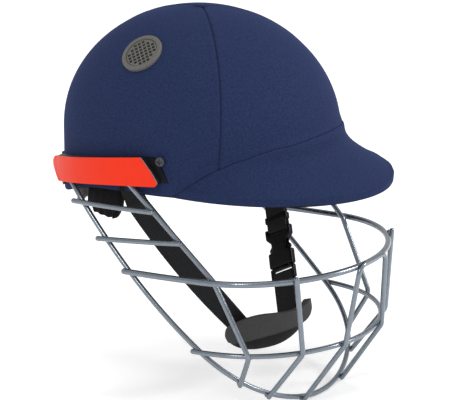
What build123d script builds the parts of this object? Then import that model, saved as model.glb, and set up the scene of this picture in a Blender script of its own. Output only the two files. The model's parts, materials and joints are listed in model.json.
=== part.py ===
from build123d import *

import os
from math import cos, radians, sin, sqrt

# A cricket batting helmet: cloth-covered shell with a peak, welded wire face guard, side plates and chin strap.
# Millimetres. X points to the wearer's left, -Y to the front and Z up. The origin is the middle of the head
# ring, where the dome's widest level and its centre line meet.

# Dome: an upright elliptical wall under a half ellipsoid, measured over the cloth
half_width = 105.0
half_length = 117.2
crown_height = 100.7
cloth_thickness = 0.8
shell_wall = 2.8

# Peak: half-ellipse levels that rise from its lip to the brow, measured over the cloth
peak_start = 39.0  # the levels' middle, in front of the dome's middle
peak_half_width = 99.5
peak_length = 130.5
peak_fold_drop = 24.2  # from the origin down to the fold above the lip
peak_rise = 37.2  # from the fold up to the highest level
peak_height_shares = (0.0, 0.054, 0.167, 0.315, 0.449, 0.691, 1.0)
peak_width_shares = (1.0, 0.974, 0.948, 0.921, 0.907, 0.88, 0.854)
peak_length_shares = (1.0, 0.952, 0.851, 0.74, 0.676, 0.631, 0.582)

# Rim: level at the front and the temples, then falling towards the nape
rim_drop = 30.6
rim_curve_start = 5.0  # in front of the dome's middle
nape_drop = 58.0  # rim of the nape, below the origin
rim_length_shares = (0.269, 0.572, 0.76)  # of the half length, behind the middle
rim_fall_shares = (0.102, 0.453, 0.781)  # of the fall from the temples to the nape

# Cloth panels
front_panel_angle = 50.5  # each side of straight ahead
seam_gap = 0.4
crown_join_diameter = 11.0
crown_join_height = 1.8
crown_join_round = 0.8  # share of its height
crown_hole = 3.0  # left open where the panels meet under the join

# Vents
vent_back = 11.0
vent_height = 74.4
vent_diameter = 34.8
vent_grid_diameter = 26.0
vent_spigot_diameter = 28.0
vent_lip = 2.2
vent_lip_width = 2.0
vent_edge = 0.6  # thickness left at the disc's edge
vent_grid_thickness = 1.4
vent_spigot_length = 3.4  # below the cloth
vent_pitch = 3.5
vent_hole = 2.4
vent_grid_depth = 1.2  # grid's face below the cloth
vent_margin_share = 0.8  # of a hole's side, kept between its middle and the grid's edge

# Foam liner and comfort pads
liner_side = 14.0
liner_end = 11.0
liner_crown = 16.0
liner_rise = 1.5  # liner's edge above the shell's
foam_gap = 0.1
crown_pad_thickness = 8.0
crown_pad_diameter = 104.0
side_pad_thickness = 7.0
side_pad_length = 92.0
side_pad_height = 50.0
side_pad_centre_height = 6.0
brow_pad_thickness = 5.0
brow_pad_height = 34.0
brow_pad_width = 120.0
pad_corner = 12.0
nape_pad_thickness = 9.0
nape_pad_start = 68.0  # behind the middle
nape_pad_hang = 11.0  # below the rim
ear_pad_thickness = 10.0
ear_pad_start = 23.0
ear_pad_length = 40.0
ear_pad_drop = 57.0  # lobe's lowest point, below the origin
hanging_pad_inset = 5.0

# Side plates and the guard brackets under them
bracket_thickness = 2.0
wire_diameter = 4.2
brow_bar_diameter = 5.0
wire_gap = 0.1
plate_thickness = 2.1
plate_face_thickness = 1.0
plate_edge = 1.6
plate_skirt = 1.8
plate_length = 130.6
plate_height = 40.8
plate_back = 99.6  # rearmost point, behind the middle
plate_top = 2.2
plate_length_shares = (0.12, 0.056, 0.0, 0.426, 0.865, 1.0, 0.928, 0.721, 0.423)
plate_height_shares = (0.0, 0.248, 0.537, 0.691, 1.0, 0.752, 0.554, 0.368, 0.147)
plate_corner = 2.6
plate_inset_gap = 0.1
bracket_front = 8.0  # ahead of the plate
bracket_tuck = 1.0  # inside the plate's outline
bracket_tab = 16.0  # tab round the rear bolt
bracket_corner = 3.0

# Guard bolts and their nuts, and the strap's rivets
bolt_diameter = 4.0
bolt_head_diameter = 8.0
bolt_head_height = 2.2
bolt_recess_width = 1.1
bolt_recess_length = 4.4
bolt_recess_depth = 1.2
bolt_hole_gap = 0.15
front_bolt_lead = 28.2  # ahead of the middle
front_bolt_drop = 1.0
rear_bolt_back = 95.5
rear_bolt_drop = 41.0
nut_diameter = 12.0
nut_flange = 1.2
nut_barrel_diameter = 5.8
nut_barrel = 2.4
rivet_diameter = 4.4
rivet_head_diameter = 9.0
rivet_head = 1.4
rivet_collar = 0.5
nut_seat = 0.3
pivot_back = 8.0
pivot_drop = 20.0

# Face guard: three rings, each given by its middle at the front and by shares of its own size
brow_bar_drop = 96.3
brow_bar_tilt = 0.048  # rise per length towards the front
brow_bar_reach = 160.2
brow_bar_half_width = 107.5
brow_bar_end = 4.5  # free ends, behind the middle
brow_bar_width_shares = (0.744, 0.989)
brow_bar_reach_shares = (0.796, 0.437)
lower_bar_drop = 154.5
lower_bar_tilt = 0.018
lower_bar_reach = 155.0
lower_bar_half_width = 103.7
lower_bar_end = 58.5  # free ends, ahead of the middle
lower_bar_width_shares = (0.704, 0.962)
lower_bar_reach_shares = (0.823, 0.542)
chin_bar_drop = 206.6
chin_bar_reach = 118.2
chin_bar_half_width = 103.6
chin_bar_width_shares = (0.671, 0.963, 1.0, 0.945)
chin_bar_reach_shares = (0.859, 0.53, 0.005, -0.425)
chin_bar_drop_shares = (0.916, 0.746, 0.483, 0.236)
chin_bar_end_back = 79.5
chin_bar_end_drop = 25.0
chin_bar_bend = 12.0
stay_top_back = 9.0
stay_top_drop = 12.6
stay_leave_front = 2.2
stay_leave_drop = 22.2
stay_brow_front = 77.0
stay_lower_front = 104.0
stay_chin_front = 90.5
stay_bend = 9.0
cross_bar_backs = (57.0, 31.0)  # free ends, behind the middle
cross_bar_joins = (22.5, 46.5)  # ahead of the middle, on the stay
cross_bar_chin_backs = (51.5, 26.5)
cross_bar_bow = 1.2
upright_brow_side = 72.5
upright_lower_side = 64.0
upright_chin_side = 64.0
upright_bend = 8.0
loop_brow_side = 19.4
loop_lower_side = 28.2
loop_chin_side = 29.8
loop_corner = 9.0
loop_rise = 2.4  # loop's top above the brow bar's middle
wire_overhang = 3.0  # past the last wire that it is welded to

# Chin strap: one flat trapeze of webbing that leans forward and turns about the rivets
strap_lean = 27.5
webbing_width = 20.0
webbing_thickness = 1.6
strap_half_width = 99.0
strap_bend_half_width = 98.5
strap_bend_drop = 23.0
strap_chin_half_width = 31.0
strap_chin_drop = 158.0
strap_turn_radius = 14.0
strap_gap = 0.3
swing_forward = 15.0
swing_back = 25.0

# Buckle, along the left webbing from its bend
keeper_start = 63.0
keeper_length = 6.0
keeper_wall = 1.4
keeper_play = 2.6
fold_start = 52.0  # free end of the folded webbing
buckle_layer = 3.8  # between the middles of the two layers at a bar
buckle_start = 74.0
buckle_bar = 3.0
buckle_slot = 2.4
buckle_shoulder_fall = 5.0
buckle_waist_start = 87.5
buckle_window_slope = 1.0
buckle_window_end = 95.5
buckle_roof = 86.0
buckle_mouth = 109.0
buckle_end = 121.0
buckle_thickness = 8.4
buckle_wall = 1.6
buckle_width = 25.0
buckle_shoulder_width = 26.5
buckle_waist_width = 16.5
buckle_corner = 0.9
buckle_edge = 0.7
plug_thickness = 5.0
plug_frame_thickness = 6.4
plug_gap = 0.3
plug_head = 2.3
plug_tongue_width = 4.6
plug_tongue_start = 92.0
plug_slot = 2.8
plug_bar = 2.6
plug_end_bar = 1.5
plug_end_shift = 0.2
plug_tail_end = 140.0
prong_width = 2.6
prong_clear = 2.5
prong_tip_width = 3.0
prong_tip_length = 5.6
prong_tip_start = 89.0

# Chin cup
cup_front = 62.0  # centre of its form, ahead of the middle
cup_drop = 150.0
cup_half_width = 60.0
cup_half_depth = 32.0
cup_half_height = 28.0
cup_wall = 6.0
cup_lining = 1.4
cup_tab_back = 4.0
cup_tab_drop = 0.0
cup_front_rise = 0.0
cup_sole_back = 16.0

# For cutting right through
overrun = 200.0


def bullet(inset, depth=overrun):
    """Dome's outer form moved in by inset: an upright elliptical wall under a half ellipsoid."""
    across = half_width - inset
    along = half_length - inset
    height = crown_height - inset
    with BuildPart() as body:
        with BuildSketch(Plane.YZ):
            with BuildLine():
                quarter = CenterArc((0, 0), 1, 0, 90)
                Polyline(quarter @ 1, (0, -depth / height), (1, -depth / height), quarter @ 0)
            make_face()
        revolve(axis=Axis.Z)
        scale(by=(across, along, height))
    return body.part


def half_ellipse(level, width, length):
    """One level of the peak: half an ellipse in front of the peak's start, closed by a straight back."""
    with BuildSketch(Plane.XY.offset(level)) as section:
        with BuildLine():
            lip = EllipticalCenterArc((0, -peak_start), width, length, start_angle=180, arc_size=180)
            Line(lip @ 1, lip @ 0)
        make_face()
    return section.sketch


def peak_form(inset):
    """Peak's outer form moved in and down by inset, with its lip carried on downwards."""
    levels = [
        half_ellipse(
            peak_rise * height - peak_fold_drop - inset,
            peak_half_width * width - inset,
            peak_length * length - inset,
        )
        for height, width, length in zip(peak_height_shares, peak_width_shares, peak_length_shares)
    ]
    with BuildPart() as body:
        loft(sections=levels)
        extrude(levels[0], amount=-overrun)
    return body.part


def below_rim(rise):
    """Everything below a line that runs along the rim, moved up by rise."""
    fall = nape_drop - rim_drop
    curve = [(half_length * back, rise - rim_drop - fall * low) for back, low in zip(rim_length_shares, rim_fall_shares)]
    with BuildPart() as body:
        with BuildSketch(Plane.YZ):
            with BuildLine():
                level = Line((-overrun, rise - rim_drop), (-rim_curve_start, rise - rim_drop))
                nape = Spline(level @ 1, *curve, (half_length, rise - nape_drop), tangents=((1, 0), (1, -fall / half_length)))
                Polyline(nape @ 1, (overrun, rise - nape_drop), (overrun, -2 * overrun), (-overrun, -2 * overrun), level @ 0)
            make_face()
        extrude(amount=overrun, both=True)
    return body.part


def surface_point(back, height, stand_off):
    """Point on the left of the dome at a place behind the middle and a height, stood off the cloth."""
    level = max(height, 0)
    across = half_width * sqrt(1 - (back / half_length) ** 2 - (level / crown_height) ** 2)
    return Vector(across, back, height) + surface_normal(back, height) * stand_off


def surface_normal(back, height):
    """Direction square to the dome's left side at a place behind the middle and a height."""
    level = max(height, 0)
    across = half_width * sqrt(1 - (back / half_length) ** 2 - (level / crown_height) ** 2)
    return Vector(across / half_width**2, back / half_length**2, level / crown_height**2).normalized()


def surface_plane(back, height, stand_off=0.0):
    """Plane that lies on the left of the dome, with its Z axis outwards."""
    normal = surface_normal(back, height)
    return Plane(origin=surface_point(back, height, stand_off), x_dir=normal.cross(Vector(0, 0, 1)), z_dir=normal)


def other_side(piece):
    """The same piece for the wearer's right."""
    with BuildPart() as copy:
        mirror(piece.part, about=Plane.YZ)
    return copy


rim = below_rim(0.0)
form_shell = [bullet(cloth_thickness), peak_form(cloth_thickness)]
form_inner = [bullet(cloth_thickness + shell_wall), peak_form(cloth_thickness + shell_wall)]

front_bolt = surface_plane(-front_bolt_lead, -front_bolt_drop)
rear_bolt = surface_plane(rear_bolt_back, -rear_bolt_drop)
bolt_planes = [front_bolt, rear_bolt]
rivet_plane = Plane(origin=(0, pivot_back, -pivot_drop), x_dir=(0, 1, 0), z_dir=(1, 0, 0))
vent_plane = surface_plane(vent_back, vent_height)


def drilled(planes, diameter):
    """Round cutters through the dome's left and right walls, square to the given planes."""
    depth = half_width / 4
    with BuildPart() as cutters:
        for plane in planes:
            with BuildSketch(plane):
                Circle(diameter / 2)
            extrude(amount=depth, both=True)
        mirror(cutters.part, about=Plane.YZ)
    return cutters.part


bolt_holes = drilled(bolt_planes, nut_barrel_diameter + 2 * bolt_hole_gap)
vent_holes = drilled([vent_plane], vent_spigot_diameter + 2 * bolt_hole_gap)
with BuildPart() as rivet_cut:
    with BuildSketch(rivet_plane):
        Circle(rivet_diameter / 2 + bolt_hole_gap)
    extrude(amount=overrun, both=True)
wall_holes = [bolt_holes, vent_holes, rivet_cut.part]

# Moulded shell
with BuildPart() as outer_shell:
    add(form_shell)
    add(form_inner, mode=Mode.SUBTRACT)
    add(rim, mode=Mode.SUBTRACT)
    add(wall_holes, mode=Mode.SUBTRACT)

# Cloth cover: a skin over the shell, sewn from four panels
def wedge(start_angle, end_angle):
    """Upright wedge about the crown's middle line between two directions, in degrees from the wearer's left."""
    reach = 2 * overrun
    middle_angle = (start_angle + end_angle) / 2
    corners = [(reach * cos(radians(a)), reach * sin(radians(a))) for a in (start_angle, middle_angle, end_angle)]
    with BuildPart() as body:
        with BuildSketch():
            with BuildLine():
                Polyline((0, 0), *corners, close=True)
            make_face()
            offset(amount=-seam_gap / 2, kind=Kind.INTERSECTION)
        extrude(amount=overrun, both=True)
    return body.part


with BuildPart() as crown_opening:
    Cylinder(crown_hole / 2, 2 * overrun)


def panel(start_angle, end_angle):
    """One panel of the dome's cover."""
    with BuildPart() as cloth:
        add(bullet(0.0))
        add([bullet(cloth_thickness), peak_form(0.0), crown_opening.part], mode=Mode.SUBTRACT)
        add(rim, mode=Mode.SUBTRACT)
        add(wedge(start_angle, end_angle), mode=Mode.INTERSECT)
        add(wall_holes, mode=Mode.SUBTRACT)
    return cloth


cover_front = panel(-90 - front_panel_angle, -90 + front_panel_angle)
cover_left = panel(-90 + front_panel_angle, 90)
cover_right = panel(90, 270 - front_panel_angle)
with BuildPart() as cover_peak:
    add(peak_form(0.0))
    add(form_shell, mode=Mode.SUBTRACT)
    add(bullet(-seam_gap / 2), mode=Mode.SUBTRACT)
    add(rim, mode=Mode.SUBTRACT)

# Join of the panels at the crown
with BuildPart() as crown_join:
    with Locations((0, 0, crown_height + crown_join_height)):
        Cylinder(crown_join_diameter / 2, 2 * crown_join_height, align=(Align.CENTER, Align.CENTER, Align.MAX))
    fillet(crown_join.edges().sort_by(Axis.Z)[-1], radius=crown_join_height * crown_join_round)
    add(bullet(0.0), mode=Mode.SUBTRACT)

# Vents: a lipped disc on the cloth with a spigot through the shell and a grid of square holes
vent_section = Plane(origin=vent_plane.origin, x_dir=vent_plane.x_dir, z_dir=-vent_plane.y_dir)
vent_axis = Axis(vent_plane.origin, vent_plane.z_dir)
vent_inner = vent_grid_diameter / 2
vent_outer = vent_diameter / 2
vent_spigot = vent_spigot_diameter / 2
vent_crest = vent_outer - vent_lip_width
with BuildPart() as under_flange:
    add(bullet(0.0))
    with BuildSketch(vent_plane.offset(-vent_diameter)):
        Circle(vent_spigot)
    extrude(amount=2 * vent_diameter, mode=Mode.SUBTRACT)
with BuildPart() as vent_left:
    with BuildSketch(vent_section):
        with BuildLine():
            Polyline(
                (0, -vent_grid_depth),
                (vent_inner, -vent_grid_depth),
                (vent_crest - vent_lip_width / 2, vent_lip),
                (vent_crest + vent_lip_width / 4, vent_lip),
                (vent_outer, vent_edge),
                (vent_outer, -vent_spigot_length),
                (vent_inner, -vent_spigot_length),
                (vent_inner, -vent_grid_depth - vent_grid_thickness),
                (0, -vent_grid_depth - vent_grid_thickness),
                close=True,
            )
        make_face()
    revolve(axis=vent_axis)
    add(under_flange.part, mode=Mode.SUBTRACT)
    columns = int(vent_grid_diameter / vent_pitch)
    places = [
        ((i - j) * vent_pitch * sqrt(0.5), (i + j) * vent_pitch * sqrt(0.5))
        for i in range(-columns, columns + 1)
        for j in range(-columns, columns + 1)
    ]
    inside = [place for place in places if Vector(*place).length < vent_inner - vent_hole * vent_margin_share]
    with BuildSketch(vent_plane):
        with Locations(*inside):
            Rectangle(vent_hole, vent_hole, rotation=45)
    extrude(amount=-vent_spigot_length, mode=Mode.SUBTRACT)
vent_right = other_side(vent_left)

# Foam liner: follows the shell inside, open under the vents, with room for nuts, rivets and the strap's swing
liner_inset = cloth_thickness + shell_wall + foam_gap


def head_space(extra):
    """Head space inside the liner, moved in by extra. The liner's wall differs at its sides, ends and crown."""
    across = half_width - liner_inset - liner_side - extra
    along = half_length - liner_inset - liner_end - extra
    height = crown_height - liner_inset - liner_crown - extra
    with BuildPart() as body:
        with BuildSketch(Plane.YZ):
            with BuildLine():
                quarter = CenterArc((0, 0), 1, 0, 90)
                Polyline(quarter @ 1, (0, -overrun / height), (1, -overrun / height), quarter @ 0)
            make_face()
        revolve(axis=Axis.Z)
        scale(by=(across, along, height))
    return body.part


strap_plane = Plane(
    origin=(0, pivot_back, -pivot_drop),
    x_dir=(1, 0, 0),
    z_dir=(0, cos(radians(strap_lean)), -sin(radians(strap_lean))),
)
strap_outer_face = strap_half_width + webbing_thickness / 2
rivet_inner_face = strap_bend_half_width - webbing_thickness / 2 - strap_gap
rivet_end = rivet_inner_face - rivet_head
slot_half_width = webbing_width / 2 + 2 * strap_gap


def swing_edge(turn, side):
    """Two points on the edge of the strap's slot, in the side view, with the strap leaning forward by turn."""
    down = Vector(-sin(radians(turn)), -cos(radians(turn)))
    across = Vector(-cos(radians(turn)), sin(radians(turn))) * slot_half_width * side
    hub = Vector(pivot_back, -pivot_drop)
    return hub + across, hub + across + down * nape_drop


with BuildPart() as liner_left:
    add(bullet(liner_inset))
    add(head_space(0.0), mode=Mode.SUBTRACT)
    add(below_rim(liner_rise), mode=Mode.SUBTRACT)
    split(bisect_by=Plane.YZ, keep=Keep.TOP)
    with BuildSketch(vent_plane):
        Circle(vent_inner)
    extrude(amount=-half_width / 2, mode=Mode.SUBTRACT)
    for bolt in bolt_planes:
        with BuildSketch(bolt.offset(-liner_inset - nut_seat - nut_flange - strap_gap)):
            Circle(nut_diameter / 2 + strap_gap)
        extrude(amount=liner_side, mode=Mode.SUBTRACT)
    with BuildSketch(Plane.YZ.offset(rivet_end - strap_gap)):
        with Locations((pivot_back, -pivot_drop)):
            Circle(slot_half_width)
        with BuildLine():
            front_top, front_low = swing_edge(strap_lean + swing_forward, 1)
            rear_top, rear_low = swing_edge(strap_lean - swing_back, -1)
            Polyline(front_top, front_low, rear_low, rear_top, close=True)
        make_face()
    extrude(amount=liner_side, mode=Mode.SUBTRACT)
with BuildPart() as shock_liner:
    add(liner_left.part)
    mirror(liner_left.part, about=Plane.YZ)


def comfort_pad(plane, outline, thickness):
    """Pad on the liner's inner face, cut out along the plane's Z axis to the outline."""
    with BuildPart() as cushion:
        add(head_space(foam_gap))
        add(head_space(foam_gap + thickness), mode=Mode.SUBTRACT)
        with BuildSketch(plane):
            add(outline)
        extrude(amount=overrun, mode=Mode.INTERSECT)
    return cushion


with BuildSketch() as crown_outline:
    Ellipse(crown_pad_diameter / 2, crown_pad_diameter * half_length / half_width / 2)
with BuildSketch() as side_outline:
    with Locations((0, side_pad_centre_height)):
        RectangleRounded(side_pad_length, side_pad_height, pad_corner)
with BuildSketch() as brow_outline:
    with Locations((0, brow_pad_height / 2 - rim_drop + liner_rise)):
        RectangleRounded(brow_pad_width, brow_pad_height, pad_corner)
crown_pad = comfort_pad(Plane.XY, crown_outline.sketch, crown_pad_thickness)
side_pad_left = comfort_pad(Plane.YZ, side_outline.sketch, side_pad_thickness)
side_pad_right = other_side(side_pad_left)
brow_pad = comfort_pad(Plane.XZ, brow_outline.sketch, brow_pad_thickness)


def hanging_pad(thickness):
    """Band of foam in line with the liner that starts under its edge and runs down."""
    with BuildPart() as band:
        add(bullet(cloth_thickness + shell_wall + hanging_pad_inset))
        add(bullet(cloth_thickness + shell_wall + hanging_pad_inset + thickness), mode=Mode.SUBTRACT)
        add(below_rim(liner_rise - foam_gap), mode=Mode.INTERSECT)
    return band.part


with BuildPart() as nape_pad:
    add(hanging_pad(nape_pad_thickness))
    add(below_rim(-nape_pad_hang), mode=Mode.SUBTRACT)
    with BuildSketch(Plane.XZ.offset(-nape_pad_start)):
        Rectangle(2 * overrun, 2 * overrun)
    extrude(amount=-overrun, mode=Mode.INTERSECT)
with BuildPart() as ear_pad_left:
    add(hanging_pad(ear_pad_thickness))
    with BuildSketch(Plane.YZ):
        with Locations((ear_pad_start + ear_pad_length / 2, -ear_pad_drop / 2)):
            RectangleRounded(ear_pad_length, ear_pad_drop, pad_corner)
    extrude(amount=overrun, mode=Mode.INTERSECT)
ear_pad_right = other_side(ear_pad_left)


# Face guard
def first_reach(path, measure, value):
    """Share of the path at which a measure of its points first reaches a value."""
    steps = 60
    last = next(n for n in range(1, steps + 1) if measure(path @ (n / steps)) >= value)
    low, high = (last - 1) / steps, last / steps
    for _ in range(16):
        middle = (low + high) / 2
        if measure(path @ middle) < value:
            low = middle
        else:
            high = middle
    return high


def beside(path, measure, value, out):
    """Point level with the place where the path first reaches a value, moved out square to the path."""
    share = first_reach(path, measure, value)
    along = path % share
    outward = Vector(along.Y, -along.X, 0).normalized()
    return path @ share + outward * out


def rearward(point):
    return point.Y


def sideward(point):
    return point.X


def bar(path, diameter):
    """Round bar along a path, with rounded ends."""
    with BuildPart() as rod:
        with BuildSketch(Plane(origin=path @ 0, z_dir=path % 0)):
            Circle(diameter / 2)
        sweep(path=path)
        with Locations(path @ 0, path @ 1):
            Sphere(diameter / 2)
    return rod


def ring_path(reach, half_side, width_shares, reach_shares, end, drop, tilt):
    """Left half of a ring: arcs that run on smoothly from the middle of the front to a free end."""
    sides = [(half_side * across, -reach * ahead) for across, ahead in zip(width_shares, reach_shares)]
    points = [Vector(across, back, -drop - tilt * back) for across, back in [(0, -reach), *sides, (half_side, end)]]
    with BuildLine() as half:
        front = TangentArc(points[0], points[1], tangent=(1, 0, 0))
        side = TangentArc(points[1], points[2], tangent=front % 1)
        TangentArc(points[2], points[3], tangent=side % 1)
    return half.wire()


def whole(half):
    """A path and its mirror image, joined at the middle of the front."""
    with BuildLine() as line:
        add(half)
        mirror(half, about=Plane.YZ)
    return line.wire()


brow_path = ring_path(
    brow_bar_reach,
    brow_bar_half_width,
    brow_bar_width_shares,
    brow_bar_reach_shares,
    brow_bar_end,
    brow_bar_drop,
    brow_bar_tilt,
)
lower_path = ring_path(
    lower_bar_reach,
    lower_bar_half_width,
    lower_bar_width_shares,
    lower_bar_reach_shares,
    -lower_bar_end,
    lower_bar_drop,
    lower_bar_tilt,
)
wire_stand_off = bracket_thickness + wire_gap + wire_diameter / 2
chin_points = [
    Vector(chin_bar_half_width * across, -chin_bar_reach * ahead, -chin_bar_drop * low)
    for across, ahead, low in zip(chin_bar_width_shares, chin_bar_reach_shares, chin_bar_drop_shares)
]
with BuildLine() as chin_line:
    chin_front = TangentArc((0, -chin_bar_reach, -chin_bar_drop), chin_points[0], tangent=(1, 0, 0))
    chin_cheek = TangentArc(chin_front @ 1, chin_points[1], tangent=chin_front % 1)
    chin_side = TangentArc(chin_cheek @ 1, chin_points[2], tangent=chin_cheek % 1)
    chin_rear = TangentArc(chin_side @ 1, chin_points[3], tangent=chin_side % 1)
    TangentArc(chin_rear @ 1, surface_point(chin_bar_end_back, -chin_bar_end_drop, wire_stand_off), tangent=chin_rear % 1)
chin_path = chin_line.wire()

brow_bar = bar(whole(brow_path), brow_bar_diameter)
lower_bar = bar(whole(lower_path), wire_diameter)
chin_bar = bar(whole(chin_path), wire_diameter)

thick_step = (brow_bar_diameter + wire_diameter) / 2 + wire_gap
thin_step = wire_diameter + wire_gap

stay_chin = beside(chin_path, rearward, -stay_chin_front, thin_step)
stay_lower = beside(lower_path, rearward, -stay_lower_front, thin_step)
with BuildLine() as stay_line:
    FilletPolyline(
        surface_point(stay_top_back, -stay_top_drop, wire_stand_off),
        surface_point(-stay_leave_front, -stay_leave_drop, wire_stand_off),
        beside(brow_path, rearward, -stay_brow_front, -thick_step),
        stay_lower,
        stay_chin + (stay_chin - stay_lower).normalized() * wire_overhang,
        radius=stay_bend,
    )
stay_path = stay_line.wire()
stay_left = bar(stay_path, wire_diameter)
stay_right = other_side(stay_left)

with BuildPart() as cross_bars_left:
    for back, join, chin_back in zip(cross_bar_backs, cross_bar_joins, cross_bar_chin_backs):
        across_chin = beside(chin_path, rearward, chin_back, thin_step)
        forward_share = first_reach(stay_path, lambda point: -point.Y, join)
        across_stay = stay_path @ forward_share + Vector(thin_step, 0, 0)
        run = across_chin - across_stay
        start = across_chin + run.normalized() * (back - chin_back)
        end = across_stay - run.normalized() * wire_overhang
        middle = (start + end) / 2 + Vector(cross_bar_bow, 0, 0)
        with BuildLine() as cross_line:
            ThreePointArc(start, middle, end)
        cross_path = cross_line.wire()
        add(bar(cross_path, wire_diameter).part)
cross_bars_right = other_side(cross_bars_left)

upright_chin = beside(chin_path, sideward, upright_chin_side, thin_step)
upright_lower = beside(lower_path, sideward, upright_lower_side, thin_step)
upright_brow = beside(brow_path, sideward, upright_brow_side, thick_step)
with BuildLine() as upright_line:
    FilletPolyline(
        upright_brow + (upright_brow - upright_lower).normalized() * wire_overhang,
        upright_lower,
        upright_chin + (upright_chin - upright_lower).normalized() * wire_overhang,
        radius=upright_bend,
    )
upright_left = bar(upright_line.wire(), wire_diameter)
upright_right = other_side(upright_left)

loop_chin = beside(chin_path, sideward, loop_chin_side, thin_step)
loop_lower = beside(lower_path, sideward, loop_lower_side, thin_step)
loop_brow = beside(brow_path, sideward, loop_brow_side, thick_step) + Vector(0, 0, loop_rise)
loop_side = [loop_chin + (loop_chin - loop_lower).normalized() * wire_overhang, loop_lower, loop_brow]
loop_mirrored = [Vector(-point.X, point.Y, point.Z) for point in reversed(loop_side)]
with BuildLine() as loop_line:
    FilletPolyline(*loop_side, *loop_mirrored, radius=loop_corner)
centre_loop = bar(loop_line.wire(), wire_diameter)


# Side plates, their faces, and the brackets under them
def plate_points():
    """Corners of the side plate in the side view, from its front top corner down and round."""
    front = plate_back - plate_length
    return [
        Vector(front + plate_length * back, plate_top - plate_height * low)
        for back, low in zip(plate_length_shares, plate_height_shares)
    ]


def plate_outline(inset, corner):
    """Side view of the plate, moved in by inset."""
    top, shoulder, toe, belly, heel, tail, tail_top, back_top, mid_top = plate_points()
    with BuildSketch() as outline:
        with BuildLine():
            Polyline(top, shoulder, toe)
            ThreePointArc(toe, belly, heel)
            Polyline(heel, tail, tail_top)
            ThreePointArc(tail_top, (back_top + mid_top) / 2, top)
        make_face()
        fillet(outline.vertices(), radius=corner)
        if inset > 0:
            offset(amount=-inset)
    return outline.sketch


def layer(outline, low, high):
    """Sheet that follows the dome's upright wall between two heights over the cloth, cut to a side view."""
    with BuildPart() as sheet:
        with BuildSketch():
            Ellipse(half_length + high, half_width + high, rotation=90)
            Ellipse(half_length + low, half_width + low, rotation=90, mode=Mode.SUBTRACT)
        extrude(amount=nape_drop, both=True)
        with BuildSketch(Plane.YZ):
            add(outline)
        extrude(amount=overrun, mode=Mode.INTERSECT)
    return sheet.part


plate_low = bracket_thickness + 2 * wire_gap + wire_diameter
plate_high = plate_low + plate_thickness
face_low = plate_high - plate_face_thickness
with BuildPart() as side_plate_left:
    add(layer(plate_outline(0, plate_corner), bracket_thickness + wire_gap, plate_high))
    add(layer(plate_outline(plate_skirt, plate_corner), 0, plate_low), mode=Mode.SUBTRACT)
    add(layer(plate_outline(plate_edge, plate_corner), face_low, plate_high + bolt_head_height), mode=Mode.SUBTRACT)
    with BuildSketch(Plane(origin=chin_path @ 1, z_dir=chin_path % 1)):
        Circle(wire_diameter / 2 + wire_gap)
    sweep(path=chin_path, mode=Mode.SUBTRACT)
    with BuildSketch(Plane(origin=stay_path @ 0, z_dir=stay_path % 0)):
        Circle(wire_diameter / 2 + wire_gap)
    sweep(path=stay_path, mode=Mode.SUBTRACT)
side_plate_right = other_side(side_plate_left)
with BuildPart() as plate_face_left:
    add(layer(plate_outline(plate_edge + plate_inset_gap, plate_corner), face_low, plate_high))
plate_face_right = other_side(plate_face_left)

with BuildSketch() as bracket_outline:
    add(plate_outline(bracket_tuck, plate_corner))
    with BuildLine():
        top, shoulder, toe = plate_points()[:3]
        lead = Vector(bracket_front, bracket_tuck)
        Polyline(top - lead, shoulder - lead, toe - lead + Vector(0, 2 * bracket_tuck), toe + lead, top + lead)
        Line(top + lead - Vector(0, 2 * bracket_tuck), top - lead)
    make_face()
    with Locations((rear_bolt_back, -rear_bolt_drop)):
        Circle(bracket_tab / 2)
        Rectangle(bracket_tab, bracket_tab, align=(Align.CENTER, Align.MIN))
with BuildPart() as guard_bracket_left:
    add(layer(bracket_outline.sketch, 0, bracket_thickness))
    for bolt in bolt_planes:
        with BuildSketch(bolt):
            Circle(bolt_diameter / 2 + bolt_hole_gap)
        extrude(amount=half_width / 4, both=True, mode=Mode.SUBTRACT)
    with BuildSketch(rivet_plane):
        Circle(rivet_head_diameter / 2 + strap_gap)
    extrude(amount=overrun, mode=Mode.SUBTRACT)
guard_bracket_right = other_side(guard_bracket_left)

# Bolts with a cross recess, the nuts inside the shell, and the strap's rivets
with BuildPart() as guard_bolts_left:
    for bolt in bolt_planes:
        seat = bolt.offset(bracket_thickness)
        with BuildPart(mode=Mode.PRIVATE) as screw:
            with BuildSketch(seat):
                Circle(bolt_head_diameter / 2)
            extrude(amount=bolt_head_height)
            fillet(screw.edges().filter_by(GeomType.CIRCLE).sort_by(Axis(seat.origin, seat.z_dir))[-1], bolt_head_height / 2)
            with BuildSketch(seat):
                Circle(bolt_diameter / 2)
            extrude(amount=-bracket_thickness - liner_inset - nut_seat - nut_flange)
            with BuildSketch(seat.offset(bolt_head_height)):
                Rectangle(bolt_recess_length, bolt_recess_width)
                Rectangle(bolt_recess_width, bolt_recess_length)
            extrude(amount=-bolt_recess_depth, mode=Mode.SUBTRACT)
        add(screw.part)
guard_bolts_right = other_side(guard_bolts_left)

with BuildPart() as bolt_nuts_left:
    for bolt in bolt_planes:
        flange_face = bolt.offset(-cloth_thickness - shell_wall - nut_seat)
        with BuildSketch(flange_face):
            Circle(nut_diameter / 2)
            Circle(bolt_diameter / 2 + bolt_hole_gap, mode=Mode.SUBTRACT)
        extrude(amount=-nut_flange)
        with BuildSketch(flange_face):
            Circle(nut_barrel_diameter / 2)
            Circle(bolt_diameter / 2 + bolt_hole_gap, mode=Mode.SUBTRACT)
        extrude(amount=nut_barrel)
bolt_nuts_right = other_side(bolt_nuts_left)

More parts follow.
